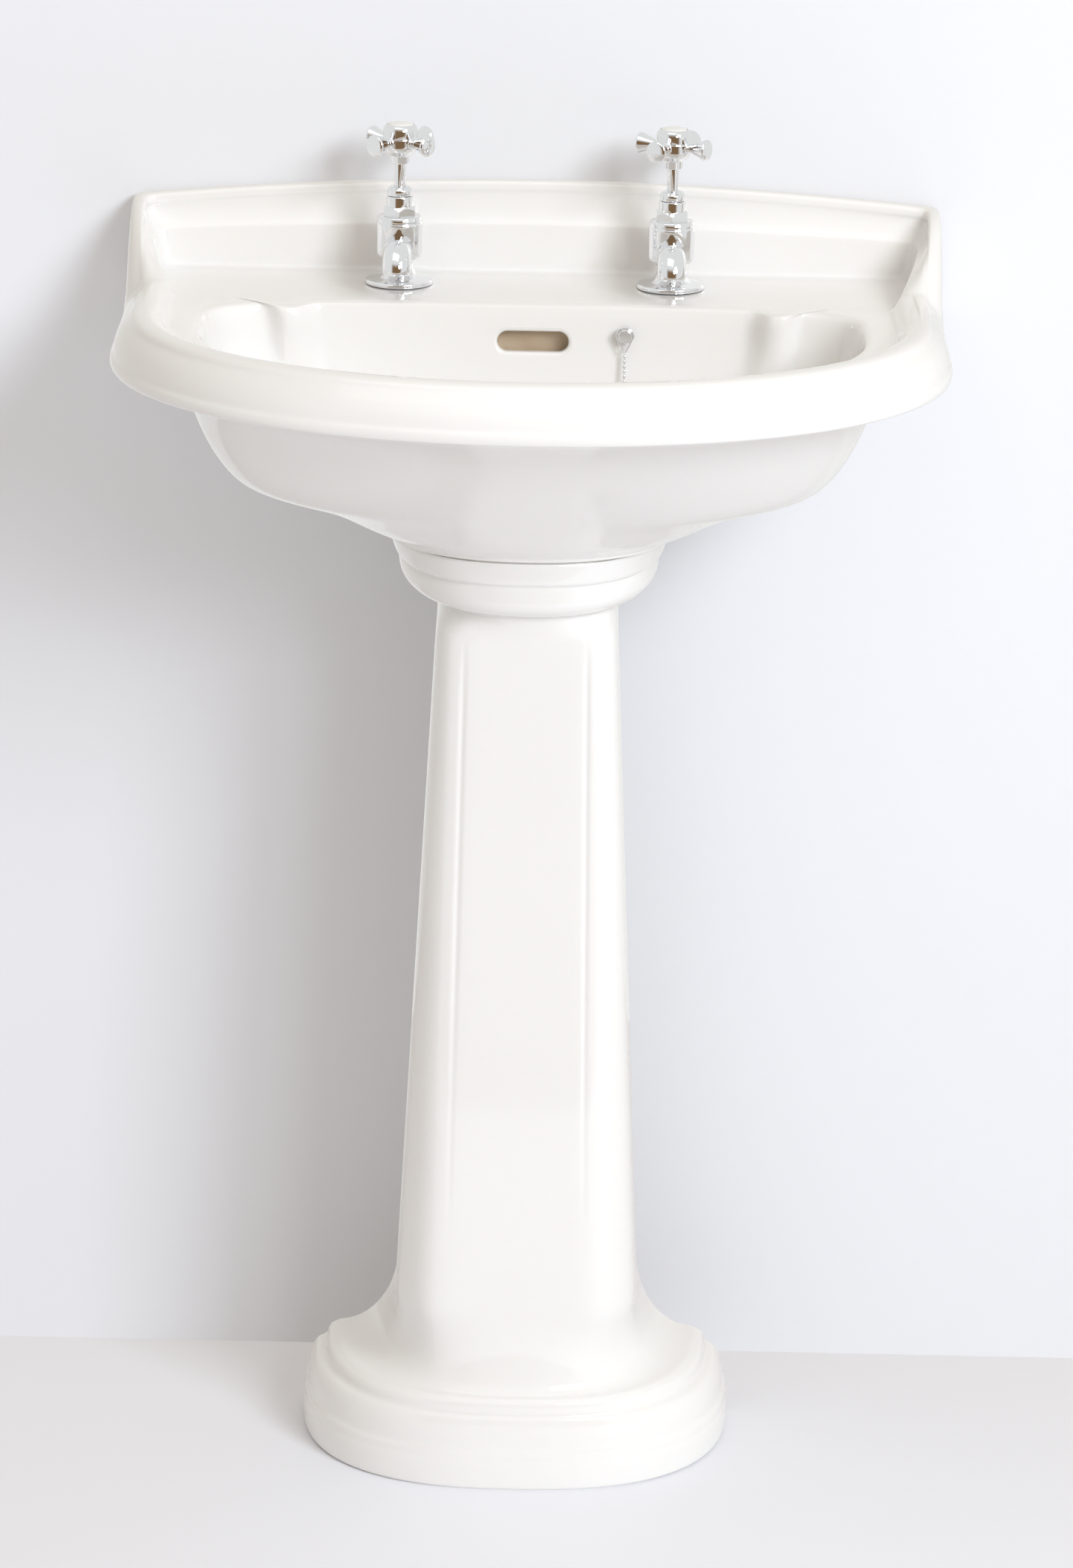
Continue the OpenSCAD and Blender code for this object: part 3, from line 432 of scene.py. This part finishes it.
def bowl_ring(t):
    f = math.sin(math.radians(90 * t)) ** 0.91
    z = mix(DECK_Z - 10, BOWL_FLOOR_Z, max(0, math.cos(math.radians(90 * t))) ** 0.91)
    return bowl_edge(
        z, mix(36, BOWL_HALF - 6, f), mix(WASTE[1], CENTRE_Y, t), mix(WASTE[1] - 34, BOWL_FRONT + 6, f**2.5),
        mix(WASTE[1] + 34, BOWL_BACK - 3, f**1.4), mix(2, 2.1, t), mix(2, 4, t), t**4,
    )


# Underside, up from the seat: [height above the seat, half width, front]
FOOT_HALF, UNDER_HALF = 104.5, 250
UNDERSIDE = [
    [0.3, 104.3, -36.3], [0.8, 104.5, -36.5], [2.6, 104.5, -36.5], [3, 104.8, -36.8], [5.5, 110, -40], [9, 120, -46],
    [16, 133, -56], [28, 155, -71], [36, 184, -81], [41, 206, -87], [54, 220, -103], [83, 237, -135],
]


def under_ring(rise, half, front):
    e = (half - FOOT_HALF) / (UNDER_HALF - FOOT_HALF)
    return ring(SEAT_Z + rise, half, mix(60, CENTRE_Y, e), front, mix(131, 148, e), mix(2.2, 2.1, e), mix(5, 8, e))


def waste_ring(z, r):
    return ring(z, r, WASTE[1], WASTE[1] - r, WASTE[1] + r, 2, 2)


def china_shell():
    rows = [waste_ring(SEAT_Z, r) for r in (18, 24)]
    rows += [under_ring(*row) for row in [[0, 97, -30]] + UNDERSIDE]
    rows += [rim_ring(r, s) for r, s in zip(RIM_SECTION, SPLASH_SECTION)]
    rows += [
        bowl_edge(DECK_Z - 1, BOWL_HALF, CENTRE_Y, BOWL_FRONT, BOWL_BACK, 2.1, 4, 1),
        bowl_edge(DECK_Z - 4, BOWL_HALF - 3, CENTRE_Y, BOWL_FRONT + 3, BOWL_BACK - 2, 2.1, 4, 1),
    ]
    rows += [bowl_ring(k / 14) for k in range(14, -1, -1)]
    rows += [waste_ring(BOWL_FLOOR_Z, r) for r in (24, 18)]
    points = refine(refine(refine(np.array(rows), 0), 0), 1)
    return add_piece("basin_china", points.reshape(-1, 3), grid_faces(points.shape[0], points.shape[1], True), 35)


OVERFLOW_Z = DECK_Z - 30
OVERFLOW_W, OVERFLOW_H = 52, 15


def bowl_wall(z):
    """Where the back wall of the bowl is on the centre line at a height, and how it slopes."""
    middle = int(np.argmax(SIN))
    wall = np.array([bowl_ring(t)[middle] for t in np.linspace(0.05, 1, 120)])
    y = np.interp([z - 5, z, z + 5], wall[:, 2], wall[:, 1])
    return y[1], (y[2] - y[0]) / 10


def overflow_tool():
    """The slot's cutter: straight inside, and opening out at its mouth to leave a rounded lip."""
    wall_y, slope = bowl_wall(OVERFLOW_Z)
    lip, steps, corner = 2.8, 10, 20
    rows = [(lip + 0.6, -8), (lip + 0.3, -0.4)]
    for k in range(steps + 1):
        a = math.radians(90 * k / steps)
        rows.append((lip * (1 - math.sin(a)), lip * (1 - math.cos(a))))
    rows.append((0, 14))
    points = []
    for grown, depth in rows:
        r, half = OVERFLOW_H / 2 + grown, (OVERFLOW_W - OVERFLOW_H) / 2
        for side, first in ((1, -90), (-1, 90)):
            for k in range(corner + 1):
                a = math.radians(first + 180 * k / corner)
                x, z = side * half + r * math.cos(a), r * math.sin(a)
                points.append((x, wall_y + slope * z + depth, OVERFLOW_Z + z))
    cols = 2 * (corner + 1)
    faces = grid_faces(len(rows), cols, False)
    faces += [tuple(range(cols)), tuple((len(rows) - 1) * cols + k for k in range(cols))[::-1]]
    return add_piece("overflow", points, faces)


def basin():
    """The casting, with the strip for the wall fixings, its holes and the overflow duct, and a brown plate in the duct
    whose bare clay colour is darkened to paint the shade inside the slot.
    """
    china = china_shell()
    strip_low, strip_half, strip_thick, web = 762, 140, 14, 12
    roof = DECK_Z - 17
    combine(china, block((-strip_half, WALL_Y - strip_thick, strip_low), (strip_half, WALL_Y - 0.2, roof + 2)), "UNION")
    for side in (-1, 1):
        x = side * (strip_half - web / 2)
        combine(china, block((x - web / 2, WING_START_Y, strip_low), (x + web / 2, WALL_Y - 1, roof + 2)), "UNION")
    inner = strip_half - web
    duct_roof = OVERFLOW_Z + OVERFLOW_H / 2
    duct_foot = SEAT_Z + 10
    cuts = [
        block((-inner, 146, strip_low - 20), (inner, WALL_Y - strip_thick, roof)),
        pin(WASTE[0], WASTE[1], SEAT_Z - 20, SEAT_Z + 40, 22.5),
        pin(WASTE[0], WASTE[1], BOWL_FLOOR_Z - 3, BOWL_FLOOR_Z + 12, 33, 96),
        overflow_tool(),
        block((-OVERFLOW_W / 2, 114, duct_roof - 30), (OVERFLOW_W / 2, 126, duct_roof)),
        block((-20, 114, duct_foot), (20, 126, duct_roof - 9)),
        block((-12, WASTE[1], duct_foot), (12, 126, duct_foot + 9)),
        pin_y(STAY[0], STAY[2], 60, WALL_Y - 40, 3.5, 32),
        pin_y(STAY[0], STAY[2], 118, 146, 9),
    ]
    for tap in TAPS.values():
        cuts.append(pin(tap[0], tap[1], DECK_Z - 60, DECK_Z + 20, 14))
    for side in (-1, 1):
        cuts.append(pin_y(side * 110, 790, WALL_Y - 35, WALL_Y + 5, 8, 48))
    for tool in cuts:
        combine(china, tool, "DIFFERENCE", 35)
    finish_piece(china, "sink", "white_china", "basin")
    # Plate at the back of the overflow duct: bare clay colour, darkened to paint the shade seen inside the slot
    half = OVERFLOW_W / 2 - 0.1
    shade_lining = block((-half, 123.5, duct_roof - 29.5), (half, 125.9, duct_roof - 0.1))
    shade_lining.name = "overflow_painted_shade_lining"
    shade_lining.data.materials.append(DUCT_CLAY_AND_PAINTED_SHADE)
    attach(shade_lining, "sink")


basin()


# ---------- pedestal ----------

BASE_TOP, NECK_Z, BULGE_Z = 131, 650, 670
NECK_HALF, SHAFT_HALF, HEAD_HALF = 66, 91, 103
PED_CENTRE, PED_WALL, SIDE_STEPS = 105, 13, 5
CANT = (0.79, 0.61)
# Directions round the front, in degrees off the middle, closer together at the edge of the panel
HALF_FRONT = [2 * k for k in range(8)] + [15.5 + 0.5 * k for k in range(23)] + [28 + 2 * k for k in range(32)]
FRONT = [-a for a in HALF_FRONT[:0:-1]] + HALF_FRONT


def quarter(z0, r0, z1, r1, steps, upright):
    made = []
    for i in range(1, steps + 1):
        a = math.radians(90 * i / steps)
        made.append([mix(z0, z1, math.sin(a)), mix(r0, r1, 1 - math.cos(a))] if upright
                    else [mix(z0, z1, 1 - math.cos(a)), mix(r0, r1, math.sin(a))])
    return made


def pedestal_profile():
    p, n, h, b = PLINTH_HALF, NECK_HALF, HEAD_HALF, BULGE_Z
    made = [[0, p - 5], [0.8, p - 5], [1.1, p - 1.5], [3, p], [21, p], [23, p - 1.5], [30, p - 1.5], [32, p - 4]]
    made += quarter(32, p - 4, 57, p - 15, 5, True) + [[59, p - 18]]
    made += quarter(59, p - 18, 68, p - 24, 3, True) + [[70, p - 27]]
    made += quarter(70, p - 27, BASE_TOP, SHAFT_HALF, 10, False)
    made += [[mix(BASE_TOP, NECK_Z, i / 24), mix(SHAFT_HALF, n, i / 24)] for i in range(1, 25)]
    made += quarter(NECK_Z, n, b - 1, n + 7, 5, True)
    made += quarter(b, n + 9, b + 16, h - 7.5, 7, False)
    made += [[b + 22, h - 7], [b + 24.5, h - 9], [b + 26, h - 5], [b + 27.5, h - 3.5], [b + 36, h - 1],
             [PEDESTAL_TOP - 2, h], [PEDESTAL_TOP, h - 1.5]]
    return made


def ped_sizes(z, r):
    """Front face, back edge and width of the front panel that go with a half width."""
    head = (r - NECK_HALF) / (HEAD_HALF - NECK_HALF)
    base = (r - SHAFT_HALF) / (PLINTH_HALF - SHAFT_HALF)
    shaft = min(1, max(0, (NECK_Z - z) / (NECK_Z - BASE_TOP)))
    if z > NECK_Z:
        return mix(-14, -35, head), mix(110, 130, head), mix(54, 76, head)
    if z < BASE_TOP:
        return mix(-24, -48, base), 110, 67
    return mix(-14, -24, shaft), 110, mix(54, 67, shaft)


def clamp(t):
    return min(1, max(0, t))


def ped_plan(z, half, front, panel, back, soft, groove):
    """Half octagon with softened corners and a grooved panel in the column, and a rounded D in base and head."""
    made = [[-half, mix(back, PED_CENTRE, i / SIDE_STEPS), z] for i in range(SIDE_STEPS)]
    depth = PED_CENTRE - front
    for off in FRONT:
        c, s = math.sin(math.radians(off)), -math.cos(math.radians(off))
        reach = (abs(c) / half, -s / depth, (abs(c) * CANT[0] - s * CANT[1]) / (CANT[0] * panel + CANT[1] * depth))
        flat = sum(d**24 for d in reach) ** (-1 / 24)
        r = mix(flat, float(super_r(c, s, half, depth, 2.5)), soft)
        cut = groove * math.exp(-(((abs(r * c) - panel + mix(10, 16, (panel - 54) / 13)) / 1.9) ** 2))
        made.append([r * c, PED_CENTRE + r * s + cut, z])
    return made + [[half, mix(PED_CENTRE, back, i / SIDE_STEPS), z] for i in range(1, SIDE_STEPS + 1)]


def pedestal():
    rows = []
    for z, r in pedestal_profile():
        front, back, panel = ped_sizes(z, r)
        soft = clamp((z - NECK_Z) / 20) if z > NECK_Z else clamp((BASE_TOP - z) / 55)
        groove = 1.3 * clamp((NECK_Z - 8 - z) / 20) * clamp((z - 180) / 220)
        outer = ped_plan(z, r, front, panel, back, soft, groove)
        inner = ped_plan(z, r - PED_WALL, front + PED_WALL, panel - PED_WALL / 2, back, soft, 0)
        rows.append(outer + inner[::-1])
    points = refine(refine(refine(np.array(rows), 0, False), 0, False), 1)
    count, cols = points.shape[0], points.shape[1]
    faces = grid_faces(count, cols, False)
    for first in (0, (count - 1) * cols):
        for i in range(cols // 2 - 1):
            faces.append((first + i, first + i + 1, first + cols - 2 - i, first + cols - 1 - i))
    china = add_piece("pedestal_china", points.reshape(-1, 3), faces, 35)
    foot_x, foot_y = 118, 88
    for side in (-1, 1):
        x = side * (foot_x + 14)
        combine(china, block((x - 22, foot_y - 17, 0.2), (x + 22, foot_y + 17, 12)), "UNION", 35)
        combine(china, pin(side * foot_x, foot_y, -1, 39, 4.5, 32), "DIFFERENCE", 35)
    finish_piece(china, "sink", "white_china", "pedestal")


pedestal()


# ---------- taps ----------

SPOUT_Z, SPOUT_R, SPOUT_REACH, SPOUT_BEND, SPOUT_BORE = 29, 10.5, 40, 11, 6.5
BODY_PROFILE = [
    (0, -56), (10.4, -56), (10.4, -27), (10.3, -27), (10.3, 1), (24.3, 1), (24.3, 0.1), (25, 0.1), (25, 2.5), (24, 3.3), (15.5, 4.5),
    (12, 7), (10.2, 11), (10, 15), (11, 17.5), (15, 19.5), (16.6, 21), (17, 23), (17, 45), (16.4, 46),
    (16.4, 48), (15.5, 50.5), (0, 50.5),
]
BONNET_PROFILE = [(0, 50.52), (10.4, 50.52), (10.4, 56), (9.8, 57.3), (9.8, 64.4), (9.2, 65), (0, 65)]
GLAND_PROFILE = [(0, 65.2), (9.2, 65.2), (9.2, 69.6), (7.2, 72), (4.25, 72), (4.25, 70), (0, 70)]
HUB_PROFILE = [
    (0, 89), (7, 89), (7, 95), (9, 95.6), (11.6, 98.4), (12.6, 101), (12.6, 107.6), (12, 108), (12.6, 108.4),
    (12.6, 114), (11.8, 116.4), (10.2, 118), (9.8, 118), (9.8, 113.1), (0, 113.1),
]
ARM_PROFILE = [
    (0, 8), (4.7, 8), (4.7, 12.4), (4.2, 13.1), (2.9, 13.3), (3.1, 14.4), (4.3, 17.8), (5.7, 21.4), (7.1, 24.8),
    (7.7, 26.1), (8, 26.9), (7.8, 27.8), (6.6, 28.6), (4, 29), (0, 29.2),
]
INDEX_PROFILE = [(0, 113), (9.7, 113), (9.7, 117.4), (9, 118.3), (6, 119), (3, 119.15), (0, 119.18)]
ARM_Z = 105


def spout_path(start):
    path = [(0, -start - (SPOUT_REACH - start) * k / 6, SPOUT_Z) for k in range(7)]
    for k in range(1, 19):
        a = math.radians(90 * k / 18)
        path.append((0, -SPOUT_REACH - SPOUT_BEND * math.sin(a), SPOUT_Z - SPOUT_BEND * (1 - math.cos(a))))
    return path


def tap_body(name, place):
    body = lathe(name + "_tap_body", rounded(BODY_PROFILE, 0.7))
    combine(body, tube("spout", spout_path(2), SPOUT_R, 64), "UNION")
    bore = tube("bore", spout_path(9) + [(0, -SPOUT_REACH - SPOUT_BEND, 10)], SPOUT_BORE, 48)
    combine(body, bore, "DIFFERENCE")
    combine(body, pin(0, -SPOUT_REACH - SPOUT_BEND, SPOUT_Z - SPOUT_BEND - 3, SPOUT_Z - SPOUT_BEND + 2, 8.5), "DIFFERENCE")
    combine(body, pin(0, 0, -58, 20, 6), "DIFFERENCE")
    finish_piece(moved(body, place), "sink", "chrome", name + "_body")


def tap_headwork(name, place):
    hexagon = lathe("hexagon", [(0, 50.52), (13.05, 50.52), (13.05, 57.5), (0, 57.5)], 6)
    turned(hexagon, Matrix.Rotation(math.radians(30), 4, "Z"))
    turned_down = [(0, 50.52), (12.4, 50.52), (13.1, 51.4), (13.1, 54.6), (10.6, 57.5), (0, 57.5)]
    combine(hexagon, lathe("chamfer", turned_down), "INTERSECT", 20)
    bonnet = lathe(name + "_tap_bonnet", rounded(BONNET_PROFILE, 0.4))
    combine(bonnet, hexagon, "UNION", 20)
    finish_piece(moved(bonnet, place), "sink", "chrome", name + "_bonnet")
    gland = lathe(name + "_tap_gland", rounded(GLAND_PROFILE, 0.8))
    finish_piece(moved(gland, place), "sink", "chrome", name + "_gland_nut")


def tap_handle(name, place, turn):
    hub = lathe(name + "_tap_handle", rounded(HUB_PROFILE, 0.7))
    for k in range(4):
        arm = lathe("arm", rounded(ARM_PROFILE, 0.8), 64)
        turned(arm, Matrix.Rotation(math.radians(90), 4, "Y"))
        moved(arm, (0, 0, ARM_Z))
        combine(hub, turned(arm, Matrix.Rotation(math.radians(90 * k), 4, "Z")), "UNION")
    turned(hub, Matrix.Rotation(math.radians(turn), 4, "Z"))
    body = name + "_handle"
    finish_piece(moved(hub, place), body, "chrome", name + "_crosshead", name + "_handle_screw")
    stem = lathe(name + "_tap_stem", [(0, 30), (4.9, 30), (4.9, 55.4), (4.2, 56), (4.2, 95), (0, 95)], 64)
    finish_piece(moved(stem, place), body, "chrome", name + "_spindle")
    index = lathe(name + "_tap_index", rounded(INDEX_PROFILE, 0.5))
    finish_piece(moved(index, place), body, "index_china", name + "_index")


for tap_name, tap_turn in (("hot", -41), ("cold", -29)):
    tap_place = (TAPS[tap_name][0], TAPS[tap_name][1], DECK_Z)
    tap_body(tap_name, tap_place)
    tap_headwork(tap_name, tap_place)
    tap_handle(tap_name, tap_place, tap_turn)


# ---------- waste, plug and chain ----------

FLANGE_TOP = BOWL_FLOOR_Z + 0.4


def waste_and_plug():
    plug = lathe("plug_disc", rounded([
        (0, FLANGE_TOP - 6), (15, FLANGE_TOP - 6), (17, FLANGE_TOP - 4.5), (17, FLANGE_TOP - 1),
        (20, FLANGE_TOP - 0.6), (20, FLANGE_TOP + 0.8), (17, FLANGE_TOP + 1.6), (5, FLANGE_TOP + 2.4),
        (3.2, FLANGE_TOP + 3), (2.4, FLANGE_TOP + 5), (3, FLANGE_TOP + 8), (1.5, FLANGE_TOP + 9.5),
        (0, FLANGE_TOP + 9.8)], 0.5))
    finish_piece(moved(plug, (0, WASTE[1], 0)), "plug", "chrome", "plug_body")
    low, high = cad_box_mm("plug_ring")
    centre, wire = (low + high) / 2, (high[2] - low[2]) / 2
    reach = (high[0] - low[0]) / 2 - wire
    section = [(reach + wire * math.cos(2 * math.pi * k / 16), wire * math.sin(2 * math.pi * k / 16)) for k in range(16)]
    hoop = lathe("plug_hoop", section, 96, True, 80)
    finish_piece(moved(hoop, centre), "plug", "chrome", "plug_ring")


waste_and_plug()

# Route of the chain, from the stay to the plug's ring, in metres
CHAIN_ROUTE = [
    (0.067, 0.102, 0.834), (0.067, 0.101, 0.826), (0.067, 0.098, 0.812), (0.067, 0.095, 0.796),
    (0.066, 0.090, 0.780), (0.064, 0.083, 0.764), (0.060, 0.075, 0.754), (0.054, 0.062, 0.748),
    (0.052, 0.048, 0.745), (0.056, 0.034, 0.745), (0.061, 0.022, 0.746), (0.061, 0.010, 0.747),
    (0.052, 0.000, 0.747), (0.040, -0.003, 0.746), (0.028, -0.003, 0.744), (0.020, 0.001, 0.743),
    (0.020, 0.008, 0.742), (0.024, 0.015, 0.742), (0.027, 0.022, 0.742), (0.028, 0.029, 0.743),
]
CHAIN_D = 0.003


def along(route, step):
    """Points a step apart along the route, and how far along it each one is."""
    route = np.array(route)
    run = np.concatenate([[0], np.cumsum(np.linalg.norm(np.diff(route, axis=0), axis=1))])
    at = np.linspace(0, run[-1], round(run[-1] / step) + 1)
    return np.stack([np.interp(at, run, route[:, k]) for k in range(3)], 1), at


def chain():
    """Hollow steel beads on short links, as one mesh."""
    beads, run = along(CHAIN_ROUTE, 0.0036)
    ball = bmesh.new()
    bmesh.ops.create_uvsphere(ball, u_segments=16, v_segments=10, radius=CHAIN_D / 2)
    shape = [v.co.copy() for v in ball.verts]
    shape_faces = [[v.index for v in f.verts] for f in ball.faces]
    ball.free()
    points, faces, share = [], [], []
    for bead, at in zip(beads, run):
        first = len(points)
        points += [Vector(bead) + p for p in shape]
        faces += [[first + i for i in f] for f in shape_faces]
        share += [at / run[-1]] * len(shape)
    sides, link_r = 8, 0.00045
    for a, b, at, to in zip(beads, beads[1:], run, run[1:]):
        ahead = (Vector(b) - Vector(a)).normalized()
        side = ahead.orthogonal().normalized()
        up = ahead.cross(side)
        first = len(points)
        for end, place in ((a, at), (b, to)):
            for k in range(sides):
                turn = 2 * math.pi * k / sides
                points.append(Vector(end) + (side * math.cos(turn) + up * math.sin(turn)) * link_r)
                share.append(place / run[-1])
        faces += [[first + k, first + (k + 1) % sides, first + sides + (k + 1) % sides, first + sides + k]
                  for k in range(sides)]
    made = add_piece("plug_bead_chain", np.array(points) / MM, faces, 60)
    made.data.materials.append(FINISH["chrome"])
    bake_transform(made)
    share = np.clip(np.array(share) * 1.25 - 0.25, 0, 1)
    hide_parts("plug_chain")


chain()


def chain_fixing():
    """Round stay on the bowl's wall, and the wire loop that hangs the chain from it."""
    stay = lathe("chain_stay_rose", rounded(
        [(0, 1), (5.6, 1), (5.6, 2), (5, 3), (3.2, 3.4), (3.2, 4.6), (5.2, 5.2), (5.4, 6), (4.6, 7.2), (0, 7.6)], 0.4), 64)
    turned(stay, Matrix.Rotation(math.radians(90), 4, "X"))
    finish_piece(moved(stay, (STAY[0], 107, STAY[2])), "sink", "chrome", "chain_stay")
    low, high = cad_box_mm("chain_shackle")
    centre = (low + high) / 2
    reach, wire = 6.2, 0.7
    arc = [(reach * math.cos(math.radians(a)), 0, reach * math.sin(math.radians(a))) for a in range(0, 181, 10)]
    path = [(0.4, 0, -12)] + arc + [(-0.4, 0, -12)]
    loop = tube("chain_loop", path, wire, 16)
    finish_piece(moved(loop, (STAY[0], centre[1], STAY[2])), "sink", "chrome", "chain_shackle")


chain_fixing()


# ---------- the rest of the CAD, with its own finishes ----------

for row in frame["record"]["subparts"]:
    node = frame["nodes"][row["node"]]
    node.data.materials.clear()
    node.data.materials.append(FINISH[row["material_slot"]])


# ---------- room and light ----------


def stage_plane(name, corners, material):
    mesh = bpy.data.meshes.new(name)
    mesh.from_pydata(corners, [], [(0, 1, 2, 3)])
    mesh.materials.append(material)
    plane = bpy.data.objects.new(name, mesh)
    bpy.context.scene.collection.objects.link(plane)
    return plane


def area_light(name, place, target, size, energy, colour):
    data = bpy.data.lights.new(name, "AREA")
    data.shape = "RECTANGLE"
    data.size, data.size_y = size
    data.energy = energy
    data.color = colour
    lamp = bpy.data.objects.new(name, data)
    lamp.location = place
    lamp.rotation_euler = (Vector(target) - Vector(place)).to_track_quat("-Z", "Y").to_euler()
    bpy.context.scene.collection.objects.link(lamp)


def see_through_from_behind(material):
    """The wall is there for the camera in front of it only, so the object can be looked at from the back."""
    nodes, links = material.node_tree.nodes, material.node_tree.links
    rays, facing = nodes.new("ShaderNodeLightPath"), nodes.new("ShaderNodeNewGeometry")
    front = nodes.new("ShaderNodeMath")
    front.operation = "SUBTRACT"
    links.new(rays.outputs["Is Camera Ray"], front.inputs[0])
    links.new(facing.outputs["Backfacing"], front.inputs[1])
    clear, both = nodes.new("ShaderNodeBsdfTransparent"), nodes.new("ShaderNodeMixShader")
    front.use_clamp = True
    links.new(front.outputs["Value"], both.inputs["Fac"])
    links.new(clear.outputs["BSDF"], both.inputs[1])
    links.new(nodes["Principled BSDF"].outputs["BSDF"], both.inputs[2])
    links.new(both.outputs["Shader"], nodes["Material Output"].inputs["Surface"])


def room():
    floor_paint = node_material("floor_paint", (0.88, 0.89, 0.94), (0.865, 0.875, 0.925), (0.5, 0.6), patch=1.5)
    wall_paint = node_material("wall_paint", (0.81, 0.82, 0.855), (0.80, 0.81, 0.845), (0.7, 0.8), patch=1.5)
    see_through_from_behind(wall_paint)
    stage_plane("floor", [(-1.5, -0.9, 0), (1.5, -0.9, 0), (1.5, 1, 0), (-1.5, 1, 0)], floor_paint)
    for name, (x0, y0), (x1, y1) in (
        ("floor_front", (-8, -8), (8, -0.9)), ("floor_left", (-8, -0.9), (-1.5, 1)),
        ("floor_right", (1.5, -0.9), (8, 1)), ("floor_back", (-8, 1), (8, 8)),
    ):
        far = stage_plane(name, [(x0, y0, 0), (x1, y0, 0), (x1, y1, 0), (x0, y1, 0)], floor_paint)
        far.visible_glossy = False
    y = (WALL_Y + 0.6) * MM
    stage_plane("wall", [(-8, y, 0), (8, y, 0), (8, y, 6), (-8, y, 6)], wall_paint)
    area_light("key", (3.0, -3.6, 3.2), (0, 0, 0.6), (1.5, 1.9), 150, (0.87, 0.93, 1))
    area_light("window", (1.25, -2.9, 2.1), (0, 0, 0.4), (0.5, 0.8), 15, (0.92, 0.96, 1))
    area_light("top", (-0.4, -1.2, 3.4), (0, 0, 0.6), (2.4, 1.6), 7, (0.95, 0.975, 1))


def world():
    """Pale surroundings. Mirrored in the chrome, the far end of the room is a warm dark patch."""
    made = bpy.data.worlds.new("studio")
    made.use_nodes = True
    nodes, links = made.node_tree.nodes, made.node_tree.links
    place, parts = nodes.new("ShaderNodeTexCoord"), nodes.new("ShaderNodeSeparateXYZ")
    links.new(place.outputs["Generated"], parts.inputs["Vector"])

    def bell(output, middle, width):
        span = nodes.new("ShaderNodeMapRange")
        span.interpolation_type = "SMOOTHSTEP"
        away = nodes.new("ShaderNodeMath")
        away.operation = "SUBTRACT"
        away.inputs[1].default_value = middle
        size = nodes.new("ShaderNodeMath")
        size.operation = "ABSOLUTE"
        links.new(output, away.inputs[0])
        links.new(away.outputs["Value"], size.inputs[0])
        links.new(size.outputs["Value"], span.inputs["Value"])
        span.inputs["From Min"].default_value = width * 0.6
        span.inputs["From Max"].default_value = width
        span.inputs["To Min"].default_value = 1
        span.inputs["To Max"].default_value = 0
        return span.outputs["Result"]

    def times(a, b):
        made = nodes.new("ShaderNodeMath")
        made.operation = "MULTIPLY"
        links.new(a, made.inputs[0])
        links.new(b, made.inputs[1])
        return made.outputs["Value"]

    rays = nodes.new("ShaderNodeLightPath")
    dark = times(bell(parts.outputs["Y"], -1, 0.6), bell(parts.outputs["X"], 0, 0.72))
    dark = times(dark, bell(parts.outputs["Z"], -0.15, 0.75))
    dark = times(dark, rays.outputs["Is Glossy Ray"])
    def blend(factor, first, second):
        made = nodes.new("ShaderNodeMix")
        made.data_type = "RGBA"
        for socket, colour in (("A", first), ("B", second)):
            if isinstance(colour, tuple):
                made.inputs[socket].default_value = (*colour, 1)
            else:
                links.new(colour, made.inputs[socket])
        links.new(factor, made.inputs["Factor"])
        return made.outputs["Result"]

    pale = blend(rays.outputs["Is Glossy Ray"], (1.0, 0.915, 0.81), (1.38, 1.39, 1.37))
    links.new(blend(dark, pale, (0.36, 0.225, 0.12)), nodes["Background"].inputs["Color"])
    nodes["Background"].inputs["Strength"].default_value = 0.6
    bpy.context.scene.world = made


room()
world()
bpy.context.scene.view_settings.view_transform = "Standard"
